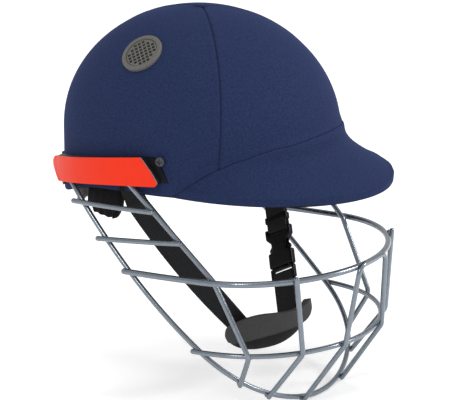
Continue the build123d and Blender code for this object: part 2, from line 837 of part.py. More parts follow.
with BuildPart() as strap_rivet_left:
    with BuildSketch(rivet_plane.offset(half_width + wire_gap)):
        Circle(rivet_head_diameter / 2)
    extrude(amount=rivet_head)
    with BuildSketch(rivet_plane.offset(rivet_end)):
        Circle(rivet_diameter / 2)
    extrude(amount=half_width + rivet_head - rivet_end)
    with BuildSketch(rivet_plane.offset(rivet_end)):
        Circle(rivet_head_diameter / 2)
    extrude(amount=rivet_head)
    with BuildSketch(rivet_plane.offset(strap_outer_face + strap_gap)):
        Circle(rivet_head_diameter / 2)
    extrude(amount=rivet_collar)
strap_rivet_right = other_side(strap_rivet_left)

# Chin strap
slant = (Vector(strap_chin_half_width, strap_chin_drop) - Vector(strap_bend_half_width, strap_bend_drop)).normalized()
slant_out = Vector(slant.Y, -slant.X)


def webbing_point(along, out=0.0):
    """Place in the strap's plane, along the left webbing below its bend and out from its middle."""
    return Vector(strap_bend_half_width, strap_bend_drop) + slant * along + slant_out * out


def in_space(point):
    """The same place in space."""
    return strap_plane.from_local_coords(Vector(point.X, point.Y, 0))


def webbing(path_sketch):
    """Flat strap made from its edge-on view."""
    with BuildPart() as strap:
        with BuildSketch(strap_plane):
            add(path_sketch)
        extrude(amount=webbing_width / 2, both=True)
    return strap.part


def riveted_end(piece):
    """Rounds the webbing's top end and cuts its rivet hole."""
    with BuildPart() as strap:
        add(piece)
        short = strap.edges().filter_by(lambda edge: edge.length < 2 * webbing_thickness)
        tops = short.sort_by(Axis(strap_plane.origin, -strap_plane.y_dir))[-2:]
        fillet(tops, radius=webbing_width / 2 - strap_gap)
        with BuildSketch(rivet_plane):
            Circle(rivet_diameter / 2 + strap_gap)
        extrude(amount=overrun, mode=Mode.SUBTRACT)
    return strap


strap_top = (strap_half_width, -webbing_width / 2)
strap_turn = (strap_bend_half_width, strap_bend_drop)
strap_foot = Vector(strap_chin_half_width, strap_chin_drop) + slant * (cup_wall + cup_lining)


def cup_form(inset):
    """Egg-shaped form of the chin cup, moved in by inset."""
    with BuildPart() as egg:
        Sphere(1, rotation=(0, 0, 90))
        scale(by=(cup_half_width - inset, cup_half_depth - inset, cup_half_height - inset))
    with BuildPart() as placed:
        with Locations((0, -cup_front, -cup_drop)):
            add(egg.part)
    return placed.part


def cup_layer(outer, inner):
    """Layer of the cup between two insets: its front and underside, cut off where the chin goes in."""
    with BuildPart() as cup:
        add(cup_form(outer))
        add(cup_form(inner), mode=Mode.SUBTRACT)
        with BuildSketch(Plane.YZ):
            with BuildLine():
                Polyline(
                    (-cup_front + cup_tab_back, -cup_drop - cup_tab_drop),
                    (-cup_front - cup_half_depth - cup_wall, -cup_drop - cup_tab_drop + cup_front_rise),
                    (-cup_front - cup_half_depth - cup_wall, -cup_drop - cup_half_height - cup_wall),
                    (-cup_front + cup_sole_back, -cup_drop - cup_half_height - cup_wall),
                    (-cup_front + cup_sole_back, -cup_drop - cup_half_height + cup_wall),
                    close=True,
                )
            make_face()
        extrude(amount=overrun, both=True, mode=Mode.INTERSECT)
    return cup


chin_cup = cup_layer(0.0, cup_wall)
chin_cup_lining = cup_layer(cup_wall, cup_wall + cup_lining)


def seated_in_cup(piece):
    """Webbing cut off where it meets the cup's lining."""
    with BuildPart() as strap:
        add(piece)
        add(cup_layer(0.0, cup_wall + cup_lining).part, mode=Mode.SUBTRACT)
        lower = [solid for solid in strap.solids() if solid.bounding_box().max.Z < -cup_drop - cup_half_height / 2]
        for scrap in lower:
            add(scrap, mode=Mode.SUBTRACT)
    return strap


with BuildSketch() as right_view:
    with BuildLine():
        right_line = FilletPolyline(strap_top, strap_turn, strap_foot, radius=strap_turn_radius)
    trace(right_line, line_width=webbing_thickness)
right_strap = seated_in_cup(mirror(riveted_end(webbing(right_view.sketch)).part, about=Plane.YZ))

# Left webbing: its upper piece turns round the socket's bar and is folded back up
bar_out = buckle_layer / 2
with BuildSketch() as upper_view:
    with BuildLine():
        down_line = FilletPolyline(
            strap_top, strap_turn, webbing_point(buckle_start + buckle_bar / 2), radius=strap_turn_radius
        )
        turn_line = TangentArc(down_line @ 1, webbing_point(buckle_start + buckle_bar / 2, buckle_layer), tangent=down_line % 1)
        Line(turn_line @ 1, webbing_point(fold_start, webbing_thickness + plug_gap))
    trace(line_width=webbing_thickness)
left_strap_upper = riveted_end(webbing(upper_view.sketch))

plug_bar_along = buckle_mouth + plug_gap + plug_head + plug_slot + plug_bar / 2
with BuildSketch() as lower_view:
    with BuildLine():
        tail_line = Line(webbing_point(plug_tail_end, webbing_thickness + plug_gap), webbing_point(plug_bar_along, buckle_layer))
        turn_line = TangentArc(tail_line @ 1, webbing_point(plug_bar_along), tangent=tail_line % 1)
        Line(turn_line @ 1, strap_foot)
    trace(line_width=webbing_thickness)
left_strap_lower = seated_in_cup(webbing(lower_view.sketch))

# Buckle: planes on the webbing, with X forwards, Y down the webbing and Z outwards
strap_across = strap_plane.z_dir
slant_axis = (in_space(webbing_point(1)) - in_space(webbing_point(0))).normalized()
outward_axis = (in_space(webbing_point(0, 1)) - in_space(webbing_point(0))).normalized()
buckle_plane = Plane(origin=in_space(webbing_point(0, bar_out)), x_dir=-strap_across, z_dir=outward_axis)

with BuildPart() as strap_keeper:
    opening = 2 * webbing_thickness + keeper_play
    with BuildSketch(Plane(origin=in_space(webbing_point(keeper_start, opening / 2 - webbing_thickness / 2 - plug_gap)), x_dir=-strap_across, z_dir=slant_axis)):
        RectangleRounded(webbing_width + 2 * strap_gap + 2 * keeper_wall, opening + 2 * keeper_wall, keeper_wall)
        Rectangle(webbing_width + 2 * strap_gap, opening, mode=Mode.SUBTRACT)
    extrude(amount=keeper_length)

inside_width = webbing_width + 2 * strap_gap
rod_radius = bar_out - webbing_thickness / 2 - wire_gap


def mirrored(points):
    """Closed outline from its front half, mirrored across the middle of the webbing."""
    return points + [(-across, along) for across, along in reversed(points)]


def cross_rod(along, radius, half_length_across, out=0.0):
    """Round rod across the webbing."""
    with BuildPart() as rod:
        with BuildSketch(Plane(origin=in_space(webbing_point(along, bar_out + out)), z_dir=strap_across)):
            Circle(radius)
        extrude(amount=half_length_across, both=True)
    return rod.part


with BuildPart() as buckle_socket:
    shoulder = buckle_shoulder_width / 2
    waist = buckle_waist_width / 2
    body = buckle_width / 2
    with BuildSketch(buckle_plane) as socket_outline:
        with BuildLine():
            front_half = [
                (shoulder, buckle_start),
                (shoulder, buckle_waist_start - buckle_shoulder_fall),
                (waist, buckle_waist_start),
                (waist, buckle_window_end - buckle_window_slope),
                (body, buckle_window_end),
                (body, buckle_mouth),
            ]
            Polyline(*mirrored(front_half), close=True)
        make_face()
        fillet(socket_outline.vertices(), radius=buckle_corner)
    extrude(amount=buckle_thickness / 2, both=True)
    faces = buckle_socket.faces().sort_by(Axis(buckle_plane.origin, buckle_plane.z_dir))
    chamfer(faces[0].edges() + faces[-1].edges(), buckle_edge)
    with BuildSketch(buckle_plane):
        with Locations((0, buckle_start - buckle_bar)):
            Rectangle(inside_width, 2 * buckle_bar + buckle_slot, align=(Align.CENTER, Align.MIN))
    extrude(amount=buckle_thickness, both=True, mode=Mode.SUBTRACT)
    with BuildSketch(buckle_plane):
        with Locations((0, buckle_roof)):
            Rectangle(2 * (body - buckle_wall), buckle_width, align=(Align.CENTER, Align.MIN))
    extrude(amount=plug_thickness / 2 + plug_gap, both=True, mode=Mode.SUBTRACT)
    add(cross_rod(buckle_start + buckle_bar / 2, rod_radius, inside_width / 2 + buckle_wall))

plug_start = buckle_mouth + plug_gap
with BuildPart() as buckle_plug:
    with BuildSketch(buckle_plane) as frame_outline:
        with Locations((0, plug_start)):
            Rectangle(buckle_width, buckle_end - plug_start, align=(Align.CENTER, Align.MIN))
        fillet(frame_outline.vertices(), radius=buckle_corner)
        with Locations((0, plug_start + plug_head)):
            Rectangle(inside_width, buckle_end - plug_start, align=(Align.CENTER, Align.MIN), mode=Mode.SUBTRACT)
    extrude(amount=plug_frame_thickness / 2, both=True)
    add(cross_rod(plug_bar_along, rod_radius, inside_width / 2 + plug_gap))
    add(cross_rod(buckle_end - plug_end_bar / 2, plug_end_bar / 2, inside_width / 2 + plug_gap, -plug_end_shift))
    with BuildSketch(buckle_plane):
        with Locations((0, plug_tongue_start)):
            Rectangle(plug_tongue_width, plug_start + plug_gap - plug_tongue_start, align=(Align.CENTER, Align.MIN))
    extrude(amount=plug_thickness / 2, both=True)

prong_outer = buckle_width / 2 - buckle_wall - prong_clear
prong_inner = prong_outer - prong_width
with BuildPart() as buckle_prong_front:
    with BuildSketch(buckle_plane):
        with BuildLine():
            nose = (prong_inner + prong_outer) / 2
            catch = prong_tip_start + prong_tip_length
            Polyline(
                (prong_inner, buckle_mouth),
                (prong_inner, prong_tip_start),
                (prong_inner + plug_gap, prong_tip_start - prong_width / 2),
                (nose, prong_tip_start - prong_width / 2),
                (prong_outer + prong_tip_width, prong_tip_start + prong_tip_length / 2),
                (prong_outer + prong_tip_width, catch),
                (prong_outer, catch),
                (prong_outer, buckle_mouth),
                close=True,
            )
        make_face()
    extrude(amount=plug_thickness / 2 - plug_gap, both=True)
with BuildPart() as buckle_prong_rear:
    mirror(buckle_prong_front.part, about=Plane(origin=buckle_plane.origin, z_dir=buckle_plane.x_dir))

print("strap pivot", rivet_plane.origin)
print("slide along", slant_axis)
print("buckle outward", outward_axis)
for side in (1, -1):
    print("prong root", buckle_plane.from_local_coords(Vector(side * (prong_inner + prong_outer) / 2, buckle_mouth, 0)))

pieces = {
    "outer_shell": outer_shell,
    "cover_front": cover_front,
    "cover_right": cover_right,
    "cover_left": cover_left,
    "cover_peak": cover_peak,
    "crown_join": crown_join,
    "vent_right": vent_right,
    "vent_left": vent_left,
    "shock_liner": shock_liner,
    "crown_pad": crown_pad,
    "brow_pad": brow_pad,
    "side_pad_right": side_pad_right,
    "side_pad_left": side_pad_left,
    "nape_pad": nape_pad,
    "ear_pad_right": ear_pad_right,
    "ear_pad_left": ear_pad_left,
    "brow_bar": brow_bar,
    "lower_bar": lower_bar,
    "chin_bar": chin_bar,
    "stay_right": stay_right,
    "stay_left": stay_left,
    "cross_bars_right": cross_bars_right,
    "cross_bars_left": cross_bars_left,
    "upright_right": upright_right,
    "upright_left": upright_left,
    "centre_loop": centre_loop,
    "guard_bracket_right": guard_bracket_right,
    "guard_bracket_left": guard_bracket_left,
    "side_plate_right": side_plate_right,
    "side_plate_left": side_plate_left,
    "plate_face_right": plate_face_right,
    "plate_face_left": plate_face_left,
    "guard_bolts_right": guard_bolts_right,
    "guard_bolts_left": guard_bolts_left,
    "bolt_nuts_right": bolt_nuts_right,
    "bolt_nuts_left": bolt_nuts_left,
    "strap_rivet_right": strap_rivet_right,
    "strap_rivet_left": strap_rivet_left,
    "right_strap": right_strap,
    "left_strap_upper": left_strap_upper,
    "strap_keeper": strap_keeper,
    "buckle_socket": buckle_socket,
    "buckle_plug": buckle_plug,
    "buckle_prong_front": buckle_prong_front,
    "buckle_prong_rear": buckle_prong_rear,
    "left_strap_lower": left_strap_lower,
    "chin_cup": chin_cup,
    "chin_cup_lining": chin_cup_lining,
}
os.makedirs("parts", exist_ok=True)
for name, piece in pieces.items():
    piece.part.label = name
    export_step(piece.part, f"parts/{name}.step")
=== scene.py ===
# %% [markdown]
# A cricket helmet, dressed around its CAD frame. The frame gives every piece its size and place and knows
# which pieces move together. Each step below dresses one part of the helmet: first a note on the real thing
# and on why it is made this way, then a short cell that makes it.

import json
from bisect import bisect_left
from math import acos, atan2, cos, exp, hypot, pi, radians, sin, sqrt

import bmesh
import bpy
from mathutils import Matrix, Vector, kdtree
from mathutils.bvhtree import BVHTree

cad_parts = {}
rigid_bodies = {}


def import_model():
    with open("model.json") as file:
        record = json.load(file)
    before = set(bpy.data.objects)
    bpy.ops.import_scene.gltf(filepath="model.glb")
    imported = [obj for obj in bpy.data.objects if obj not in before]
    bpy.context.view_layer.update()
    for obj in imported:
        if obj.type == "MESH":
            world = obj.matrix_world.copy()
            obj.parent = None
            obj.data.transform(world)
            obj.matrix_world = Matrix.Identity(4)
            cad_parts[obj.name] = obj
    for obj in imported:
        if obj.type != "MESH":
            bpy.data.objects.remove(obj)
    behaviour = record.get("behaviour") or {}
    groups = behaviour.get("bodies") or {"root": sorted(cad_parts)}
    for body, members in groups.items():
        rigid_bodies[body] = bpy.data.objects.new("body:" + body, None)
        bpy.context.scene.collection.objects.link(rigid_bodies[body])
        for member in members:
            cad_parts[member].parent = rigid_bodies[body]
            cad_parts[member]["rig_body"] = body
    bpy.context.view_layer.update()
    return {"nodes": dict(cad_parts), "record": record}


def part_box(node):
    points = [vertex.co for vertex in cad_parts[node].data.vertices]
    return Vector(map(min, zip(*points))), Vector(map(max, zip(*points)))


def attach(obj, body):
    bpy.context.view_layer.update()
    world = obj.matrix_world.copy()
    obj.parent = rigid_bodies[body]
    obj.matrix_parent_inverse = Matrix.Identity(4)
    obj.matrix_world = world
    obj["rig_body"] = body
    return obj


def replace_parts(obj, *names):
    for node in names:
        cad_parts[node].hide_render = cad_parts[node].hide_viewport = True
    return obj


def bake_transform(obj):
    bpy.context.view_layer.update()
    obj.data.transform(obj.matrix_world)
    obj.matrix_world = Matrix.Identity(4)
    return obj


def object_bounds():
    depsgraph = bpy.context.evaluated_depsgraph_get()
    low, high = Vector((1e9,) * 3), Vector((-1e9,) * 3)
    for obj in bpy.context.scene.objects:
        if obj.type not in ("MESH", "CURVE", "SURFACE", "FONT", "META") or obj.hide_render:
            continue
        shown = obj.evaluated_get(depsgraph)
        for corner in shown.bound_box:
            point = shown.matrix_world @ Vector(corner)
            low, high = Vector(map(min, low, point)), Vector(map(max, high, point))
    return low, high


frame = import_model()
scene = bpy.context.scene
scene.view_settings.view_transform = "Standard"
mm = 0.001
print("nodes in the frame:", len(frame["nodes"]))

# %% [markdown]
# The camera stands in front and to the wearer's right, a little above the rim. A long lens a few metres away
# keeps the helmet's proportions, as a product photographer would. Its direction is given as two angles and
# its place as a distance and two small shifts, so it can be read and changed.

# %% Camera
camera_azimuth = radians(57.43)  # from straight ahead towards the wearer's right
camera_elevation = radians(16.95)
camera_distance = 2217.0 * mm
camera_right = 19.05 * mm
camera_down = 61.0 * mm
lens_length = 216.0

towards = Vector(
    (
        -sin(camera_azimuth) * cos(camera_elevation),
        -cos(camera_azimuth) * cos(camera_elevation),
        sin(camera_elevation),
    )
)
right = Vector((cos(camera_azimuth), -sin(camera_azimuth), 0))
upward = towards.cross(right)
camera = bpy.data.objects.new("camera", bpy.data.cameras.new("camera"))
scene.collection.objects.link(camera)
scene.camera = camera
camera.data.lens = lens_length
turned = Matrix((right, upward, towards)).transposed().to_4x4()
camera_place = towards * camera_distance + right * camera_right - upward * camera_down
camera.matrix_world = Matrix.Translation(camera_place) @ turned
print("camera at", [round(v, 3) for v in camera.matrix_world.translation])

# %% [markdown]
# Every finish is a Principled material. Colours are written as sRGB hex values, as a paint chart gives them,
# and one function turns them to the linear values that Blender works in. A second small function adds a node
# with its settings and links, for materials and for geometry trees alike.


# %% Colour, node and material helpers
wear_patch = 14 * mm  # size of the patches in which handling changes a shine


def linear(code):
    """Linear RGBA from an sRGB hex colour."""
    parts = [int(code[i : i + 2], 16) / 255 for i in (1, 3, 5)]
    return [p / 12.92 if p <= 0.04045 else ((p + 0.055) / 1.055) ** 2.4 for p in parts] + [1.0]


def put(tree, kind, settings=None, inputs=None):
    """Adds a node to a tree with its settings, and its inputs as values or as links from other nodes."""
    made = tree.nodes.new(kind)
    for name, value in (settings or {}).items():
        setattr(made, name, value)
    for name, value in (inputs or {}).items():
        if isinstance(value, bpy.types.NodeSocket):
            tree.links.new(value, made.inputs[name])
        else:
            made.inputs[name].default_value = value
    return made


def finish_of(name, code, roughness, **sockets):
    """A material with a Principled shader in one colour, and that shader."""
    material = bpy.data.materials.new(name)
    material.use_nodes = True
    shader = material.node_tree.nodes["Principled BSDF"]
    shader.inputs["Base Color"].default_value = linear(code)
    shader.inputs["Roughness"].default_value = roughness
    for socket, value in sockets.items():
        shader.inputs[socket.replace("_", " ")].default_value = value
    return material, shader


def mottle(material, shader, codes, size, detail=2.0):
    """Breaks up a finish with patches of a real size, between two close colours."""
    tree = material.node_tree
    place = put(tree, "ShaderNodeTexCoord").outputs["Object"]
    noise = put(tree, "ShaderNodeTexNoise", inputs={"Vector": place, "Scale": 1 / size, "Detail": detail})
    mix = put(
        tree,
        "ShaderNodeMix",
        {"data_type": "RGBA"},
        {"Factor": noise.outputs["Fac"], 6: linear(codes[0]), 7: linear(codes[1])},
    )
    tree.links.new(mix.outputs[2], shader.inputs["Base Color"])
    return noise


def roughen(material, shader, height, depth):
    """Bumps a finish by a pattern of a real depth."""
    tree = material.node_tree
    bump = put(tree, "ShaderNodeBump", inputs={"Height": height, "Distance": depth, "Strength": 1.0})
    tree.links.new(bump.outputs["Normal"], shader.inputs["Normal"])


def grain(material, shader, size, depth, spread):
    """Fine bumps of a real size and depth, and patches that shine a little more or less."""
    tree = material.node_tree
    place = put(tree, "ShaderNodeTexCoord").outputs["Object"]
    fine = put(tree, "ShaderNodeTexNoise", inputs={"Vector": place, "Scale": 1 / size, "Detail": 1.0})
    roughen(material, shader, fine.outputs["Fac"], depth)
    wide = put(tree, "ShaderNodeTexNoise", inputs={"Vector": place, "Scale": 1 / wear_patch, "Detail": 2.0})
    middle = shader.inputs["Roughness"].default_value
    rough = put(
        tree,
        "ShaderNodeMapRange",
        inputs={"Value": wide.outputs["Fac"], "To Min": middle - spread, "To Max": middle + spread},
    )
    tree.links.new(rough.outputs["Result"], shader.inputs["Roughness"])


def satin(name, code, clouds, roughness, size, grain_size, depth, spread, **sockets):
    """A smooth finish, coated or moulded: clouds of two close colours under a fine grain."""
    material, shader = finish_of(name, code, roughness, **sockets)
    mottle(material, shader, clouds, size)
    grain(material, shader, grain_size, depth, spread)
    return material


def matt(name, code, patches, roughness, size, depth, detail=2.0, **sockets):
    """A rough finish, woven or foamed: patches of two close colours that stand higher and lower."""
    material, shader = finish_of(name, code, roughness, **sockets)
    noise = mottle(material, shader, patches, size, detail)
    roughen(material, shader, noise.outputs["Fac"], depth)
    return material


# %% [markdown]
# The cover is woven polyester. A flat colour would look like paint, so small patches between two close
# navies stand for its yarns, and they also bump the surface. The yarn is about 0.4 mm thick, which is too
# fine to show from a few metres away, so the patches are drawn at 1.3 mm.

# %% Woven cover
yarn_patch = 1.3 * mm
# yarns scatter light evenly: matt, speckled close up, with a pale sheen where the dome turns away
cloth = matt(
    "woven navy polyester", "#27305A", ("#141B38", "#313F67"),
    roughness=0.8, size=yarn_patch, depth=0.15 * mm, detail=3.0,
    Sheen_Weight=0.22, Sheen_Roughness=0.35, Sheen_Tint=linear("#5068B4"), Specular_IOR_Level=0.1,
)
print("cloth yarn patch, mm:", round(yarn_patch / mm, 1))

# %% [markdown]
# The guard is steel wire with a baked grey coat. A coat over metal shows a narrow bright line along each wire
# over a softer grey, so the shader has both: a satin metal below and a smooth clear layer above it. A weld is
# rougher than the wire and dulls the coat on it. The bolts are plated steel that is left plain.

# %% Coated and plated steel
# powder that melted to a skin: faint orange peel of about 3 mm, and a sharp highlight on a grey satin
coated_steel = satin(
    "coated steel wire", "#7C8691", ("#7C8691", "#939DA8"),
    roughness=0.24, size=6 * mm, grain_size=3.0 * mm, depth=0.01 * mm, spread=0.04,
    Metallic=0.8, Coat_Weight=0.8, Coat_Roughness=0.08,
)
# metal that froze in ripples: uneven, duller and paler than the drawn wire
weld_steel = satin(
    "weld bead under the coat", "#8A929B", ("#7C848D", "#98A0A9"),
    roughness=0.35, size=1.2 * mm, grain_size=0.7 * mm, depth=0.08 * mm, spread=0.08, Metallic=0.7,
)
# a pressed cross-head: dark grey metal with cloudy patches from the plating bath
plated_steel = satin(
    "blackened zinc plated steel", "#505359", ("#44474D", "#5C5F66"),
    roughness=0.42, size=0.9 * mm, grain_size=0.4 * mm, depth=0.02 * mm, spread=0.08, Metallic=0.8,
)
print("materials so far:", len(bpy.data.materials))

# %% [markdown]
# The plate's face is glossy orange ABS, its tray is grey ABS, and the bracket under it is black nylon. In the
# real helmet only the tray's outer edge shows grey: its wall under the face lies in shade, and that shade is
# painted black. The tray is one CAD piece, so its colour changes where an ellipse through its wall is
# crossed, which needs no second mesh.

# %% Moulded plastics of the sides
# a polished mould gives an even, strong colour with a broad soft shine and faint flow clouds
orange_plastic = satin(
    "gloss orange ABS", "#FB320A", ("#F82F08", "#FE350C"),
    roughness=0.4, size=9 * mm, grain_size=0.8 * mm, depth=0.01 * mm, spread=0.04,
    Specular_IOR_Level=0.25,
)
# satin from the mould: a thin pale line round the orange face, and painted shade in black under it
tray_plastic, tray_shader = finish_of("grey ABS with painted shade under the face", "#8F9296", 0.45)
# inside the ellipse the tray is painted black: painted shade under the face, like the black bracket under it
tray_ellipse = (112.0 * mm, 124.2 * mm)  # inside it the tray is black, like the bracket under it
tray_shares = (1 / tray_ellipse[0], 1 / tray_ellipse[1], 0)
tray_tree = tray_plastic.node_tree
tray_place = put(tray_tree, "ShaderNodeTexCoord").outputs["Object"]
tray_flat = put(tray_tree, "ShaderNodeVectorMath", {"operation": "MULTIPLY"}, {0: tray_place, 1: tray_shares})
tray_level = put(tray_tree, "ShaderNodeVectorMath", {"operation": "LENGTH"}, {0: tray_flat.outputs["Vector"]})
tray_edge = put(
    tray_tree, "ShaderNodeMath", {"operation": "GREATER_THAN"}, {0: tray_level.outputs["Value"], 1: 1.0}
)
tray_shade_mix = put(
    tray_tree,
    "ShaderNodeMix",
    {"data_type": "RGBA"},
    {"Factor": tray_edge.outputs[0], 6: linear("#14151A"), 7: linear("#8F9296")},
)
tray_tree.links.new(tray_shade_mix.outputs[2], tray_shader.inputs["Base Color"])
grain(tray_plastic, tray_shader, size=0.6 * mm, depth=0.02 * mm, spread=0.05)
# a spark-eroded mould leaves a fine, dull grain that breaks up its shine
bracket_plastic = satin(
    "moulded black nylon", "#14151A", ("#101116", "#191A20"),
    roughness=0.5, size=3 * mm, grain_size=0.8 * mm, depth=0.03 * mm, spread=0.06,
    Specular_IOR_Level=0.15,
)
print("tray turns grey outside the ellipse, mm:", [round(v / mm, 1) for v in tray_ellipse])

# %% [markdown]
# The other plastics: the vents are matt grey polypropylene, the buckle is black acetal, which is a little
# waxy, and the shell under the cloth is black ABS. Only its inner face and its rim can be seen.

# %% Other moulded plastics
# a rough mould: no clear highlight, only a warm grey with a fine tooth
vent_plastic = matt(
    "matt grey polypropylene", "#646360", ("#585754", "#777571"),
    roughness=0.7, size=1.0 * mm, depth=0.05 * mm, Specular_IOR_Level=0.2,
)
# waxy and smooth: nearly black, with thin grey glints on its rounded edges
black_plastic = satin(
    "moulded black acetal", "#101014", ("#0D0D11", "#15151A"),
    roughness=0.35, size=3 * mm, grain_size=0.5 * mm, depth=0.01 * mm, spread=0.06,
    Specular_IOR_Level=0.2,
)
# the inside of a moulding is not polished: dull black with a coarse skin
shell_plastic = satin(
    "black ABS shell", "#111215", ("#0E0F12", "#15161A"),
    roughness=0.6, size=5 * mm, grain_size=1.2 * mm, depth=0.04 * mm, spread=0.06,
    Specular_IOR_Level=0.15,
)
print("materials so far:", len(bpy.data.materials))

# %% [markdown]
# The soft goods: webbing, foam liner, pads, chin cup and its lining. Each is matt, and what tells them apart
# is the size of their pattern: yarns in the webbing, beads in the foam, mesh on the pads, a short pile on
# the nape.

# %% Webbing, foam and linings
# nylon yarns shine a little on top of each rib and stay black between them
webbing_nylon = matt(
    "woven black nylon", "#141518", ("#0D0E10", "#1F2023"),
    roughness=0.6, size=0.9 * mm, depth=0.12 * mm,
    Sheen_Weight=0.1, Sheen_Roughness=0.4, Specular_IOR_Level=0.25,
)
# beads of 3 mm that were steamed together: shallow domes with a crease round each
bead_width = 3 * mm
liner_foam, liner_shader = finish_of("expanded polystyrene foam", "#1C1C1E", 0.9, Specular_IOR_Level=0.1)
mottle(liner_foam, liner_shader, ("#171719", "#222224"), bead_width)
liner_tree = liner_foam.node_tree
liner_place = put(liner_tree, "ShaderNodeTexCoord").outputs["Object"]
liner_beads = put(liner_tree, "ShaderNodeTexVoronoi", inputs={"Vector": liner_place, "Scale": 1 / bead_width})
roughen(liner_foam, liner_shader, liner_beads.outputs["Distance"], -0.15 * mm)
# knitted mesh with 2 mm openings: no shine at all, a broken charcoal
pad_cloth = matt(
    "charcoal mesh over foam", "#151417", ("#100F12", "#1E1D20"),
    roughness=0.95, size=2.2 * mm, depth=0.25 * mm, Sheen_Weight=0.05, Specular_IOR_Level=0.1,
)
# a short pile that leans different ways: cloudy, with a soft pale edge
nape_cloth = matt(
    "taupe velour over foam", "#5C5655", ("#524D4C", "#665F5E"),
    roughness=0.95, size=1.1 * mm, depth=0.15 * mm, Sheen_Weight=0.1, Specular_IOR_Level=0.1,
)
# foam skin pressed in a warm mould: even dark grey, with painted shade on the sole below the fold, where it
# turns under
cup_foam = matt(
    "moulded EVA foam", "#474647", ("#403F40", "#4D4C4C"),
    roughness=0.78, size=3 * mm, depth=0.1 * mm, Specular_IOR_Level=0.15,
)
cup_tree = cup_foam.node_tree
cup_colour = cup_tree.nodes["Principled BSDF"].inputs["Base Color"]
# the sole mask mixes in a darker grey: painted shade on the sole, which lies in shadow
sole_shade_mask = put(cup_tree, "ShaderNodeAttribute", {"attribute_name": "sole"})
sole_shade_mix = put(
    cup_tree,
    "ShaderNodeMix",
    {"data_type": "RGBA"},
    {"Factor": sole_shade_mask.outputs["Fac"], 6: cup_colour.links[0].from_socket, 7: linear("#252224")},
)
cup_tree.links.new(sole_shade_mix.outputs[2], cup_colour)
# brushed knit: the nap hides the yarns and leaves soft clouds
lining_cloth = matt(
    "brushed purple lining", "#2B2447", ("#241E3D", "#332B54"),
    roughness=0.9, size=1.0 * mm, depth=0.1 * mm, Sheen_Weight=0.15, Specular_IOR_Level=0.1,
)
print("materials:", len(bpy.data.materials))

# %% [markdown]
# A CAD node arrives as loose triangles, so its faces shade flat. A copy with the triangles joined shades
# smoothly, and only real edges stay sharp. The copy stands for its node and rides the same body.

# %% Pieces on the frame
merge_distance = 0.004 * mm
pair_angle = radians(40)  # triangles that fold by more than this are not paired
fine_crease, vent_crease, soft_crease, rod_crease, no_crease = 32, 40, 50, 60, 180  # degrees
body_of_node = {name: node["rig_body"] for name, node in frame["nodes"].items()}


def placed(name, data):
    """A new object in the scene."""
    made = bpy.data.objects.new(name, data)
    scene.collection.objects.link(made)
    return made


def mesh_of(name, points, edges=(), faces=()):
    """A new mesh from points, edges and faces."""
    mesh = bpy.data.meshes.new(name)
    mesh.from_pydata([p[:] for p in points], list(edges), list(faces))
    return mesh


def joined(node_name, piece_name, quads=False):
    """Mesh of a CAD node with its loose triangles joined, and paired to quads if asked."""
    work = bmesh.new()
    work.from_mesh(frame["nodes"][node_name].data)
    bmesh.ops.remove_doubles(work, verts=work.verts, dist=merge_distance)
    if quads:
        bmesh.ops.join_triangles(
            work, faces=work.faces, angle_face_threshold=pair_angle, angle_shape_threshold=pi
        )
    work.verts.index_update()
    faces = [[v.index for v in f.verts] for f in work.faces]
    mesh = mesh_of(piece_name, [v.co for v in work.verts], faces=faces)
    work.free()
    return mesh


def settle(name, mesh, material, crease, *node_names, rides=True):
    """Puts a mesh in the scene as a piece for CAD nodes, which rides their body unless told not to."""
    for face in mesh.polygons:
        face.use_smooth = True
    mesh.set_sharp_from_angle(angle=radians(crease))
    mesh.materials.clear()
    mesh.materials.append(material)
    piece = placed(name, mesh)
    if rides:
        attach(piece, body_of_node[node_names[0]])
    return piece


def dress(node_name, material, crease=fine_crease, rides=True):
    """The CAD node's own form with smooth shading and a finish."""
    name = f"{node_name}_dressed"
    piece = settle(name, joined(node_name, name), material, crease, node_name, rides=rides)
    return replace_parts(piece, node_name)


# %% [markdown]
# A few small tools are shared by the shapes below. One takes a modifier's result as a plain mesh, and one
# moves a mesh along its normals, as swelling does. A hump fades softly to both sides, as cloth does beside a
# thread. Skins such as cloth and sheet foam start as a grid of four-sided faces, are turned to face outwards
# and then get their thickness inwards.

# %% Tools for shapes


def applied(name, mesh, kind, settings, inputs=None):
    """Plain mesh that a modifier makes from a mesh."""
    holder = placed(f"{name}_base", mesh)
    modifier = holder.modifiers.new("made", kind)
    for label, value in settings.items():
        setattr(modifier, label, value)
    for identifier, value in (inputs or {}).items():
        modifier[identifier] = value
    bpy.context.view_layer.update()
    result = bpy.data.meshes.new_from_object(holder.evaluated_get(bpy.context.evaluated_depsgraph_get()))
    bpy.data.objects.remove(holder)
    return result


def remeshed(name, mesh, size):
    """The same form in even faces of a size."""
    return applied(name, mesh, "REMESH", {"mode": "VOXEL", "voxel_size": size})


def swell(mesh, distance):
    """Moves a mesh's points along their normals."""
    for vertex, normal in zip(mesh.vertices, [v.normal.copy() for v in mesh.vertices]):
        vertex.co += normal * distance


def clamped(share):
    """A share kept between 0 and 1."""
    return min(1.0, max(0.0, share))


def hump(away, width):
    """A soft hump of height 1 that fades on both sides of its middle."""
    return exp(-((away / width) ** 2))


def grid_faces(columns, rows, first=0, closed=False):
    """Four-sided faces between neighbouring columns of a grid, whose points are counted down each column."""
    faces = []
    for c in range(columns if closed else columns - 1):
        here, there = first + c * rows, first + (c + 1) % columns * rows
        faces += [(here + r, here + r + 1, there + r + 1, there + r) for r in range(rows - 1)]
    return faces


def faced(mesh, outwards, merge=0.0):
    """Turns a skin's faces to its outside, which is known where it reaches furthest in a direction."""
    work = bmesh.new()
    work.from_mesh(mesh)
    if merge:
        bmesh.ops.remove_doubles(work, verts=work.verts, dist=merge)
    bmesh.ops.delete(work, geom=[v for v in work.verts if not v.link_faces], context="VERTS")
    bmesh.ops.recalc_face_normals(work, faces=work.faces)
    if max(work.faces, key=lambda face: face.calc_center_median().dot(outwards)).normal.dot(outwards) < 0:
        bmesh.ops.reverse_faces(work, faces=work.faces)
    work.to_mesh(mesh)
    work.free()


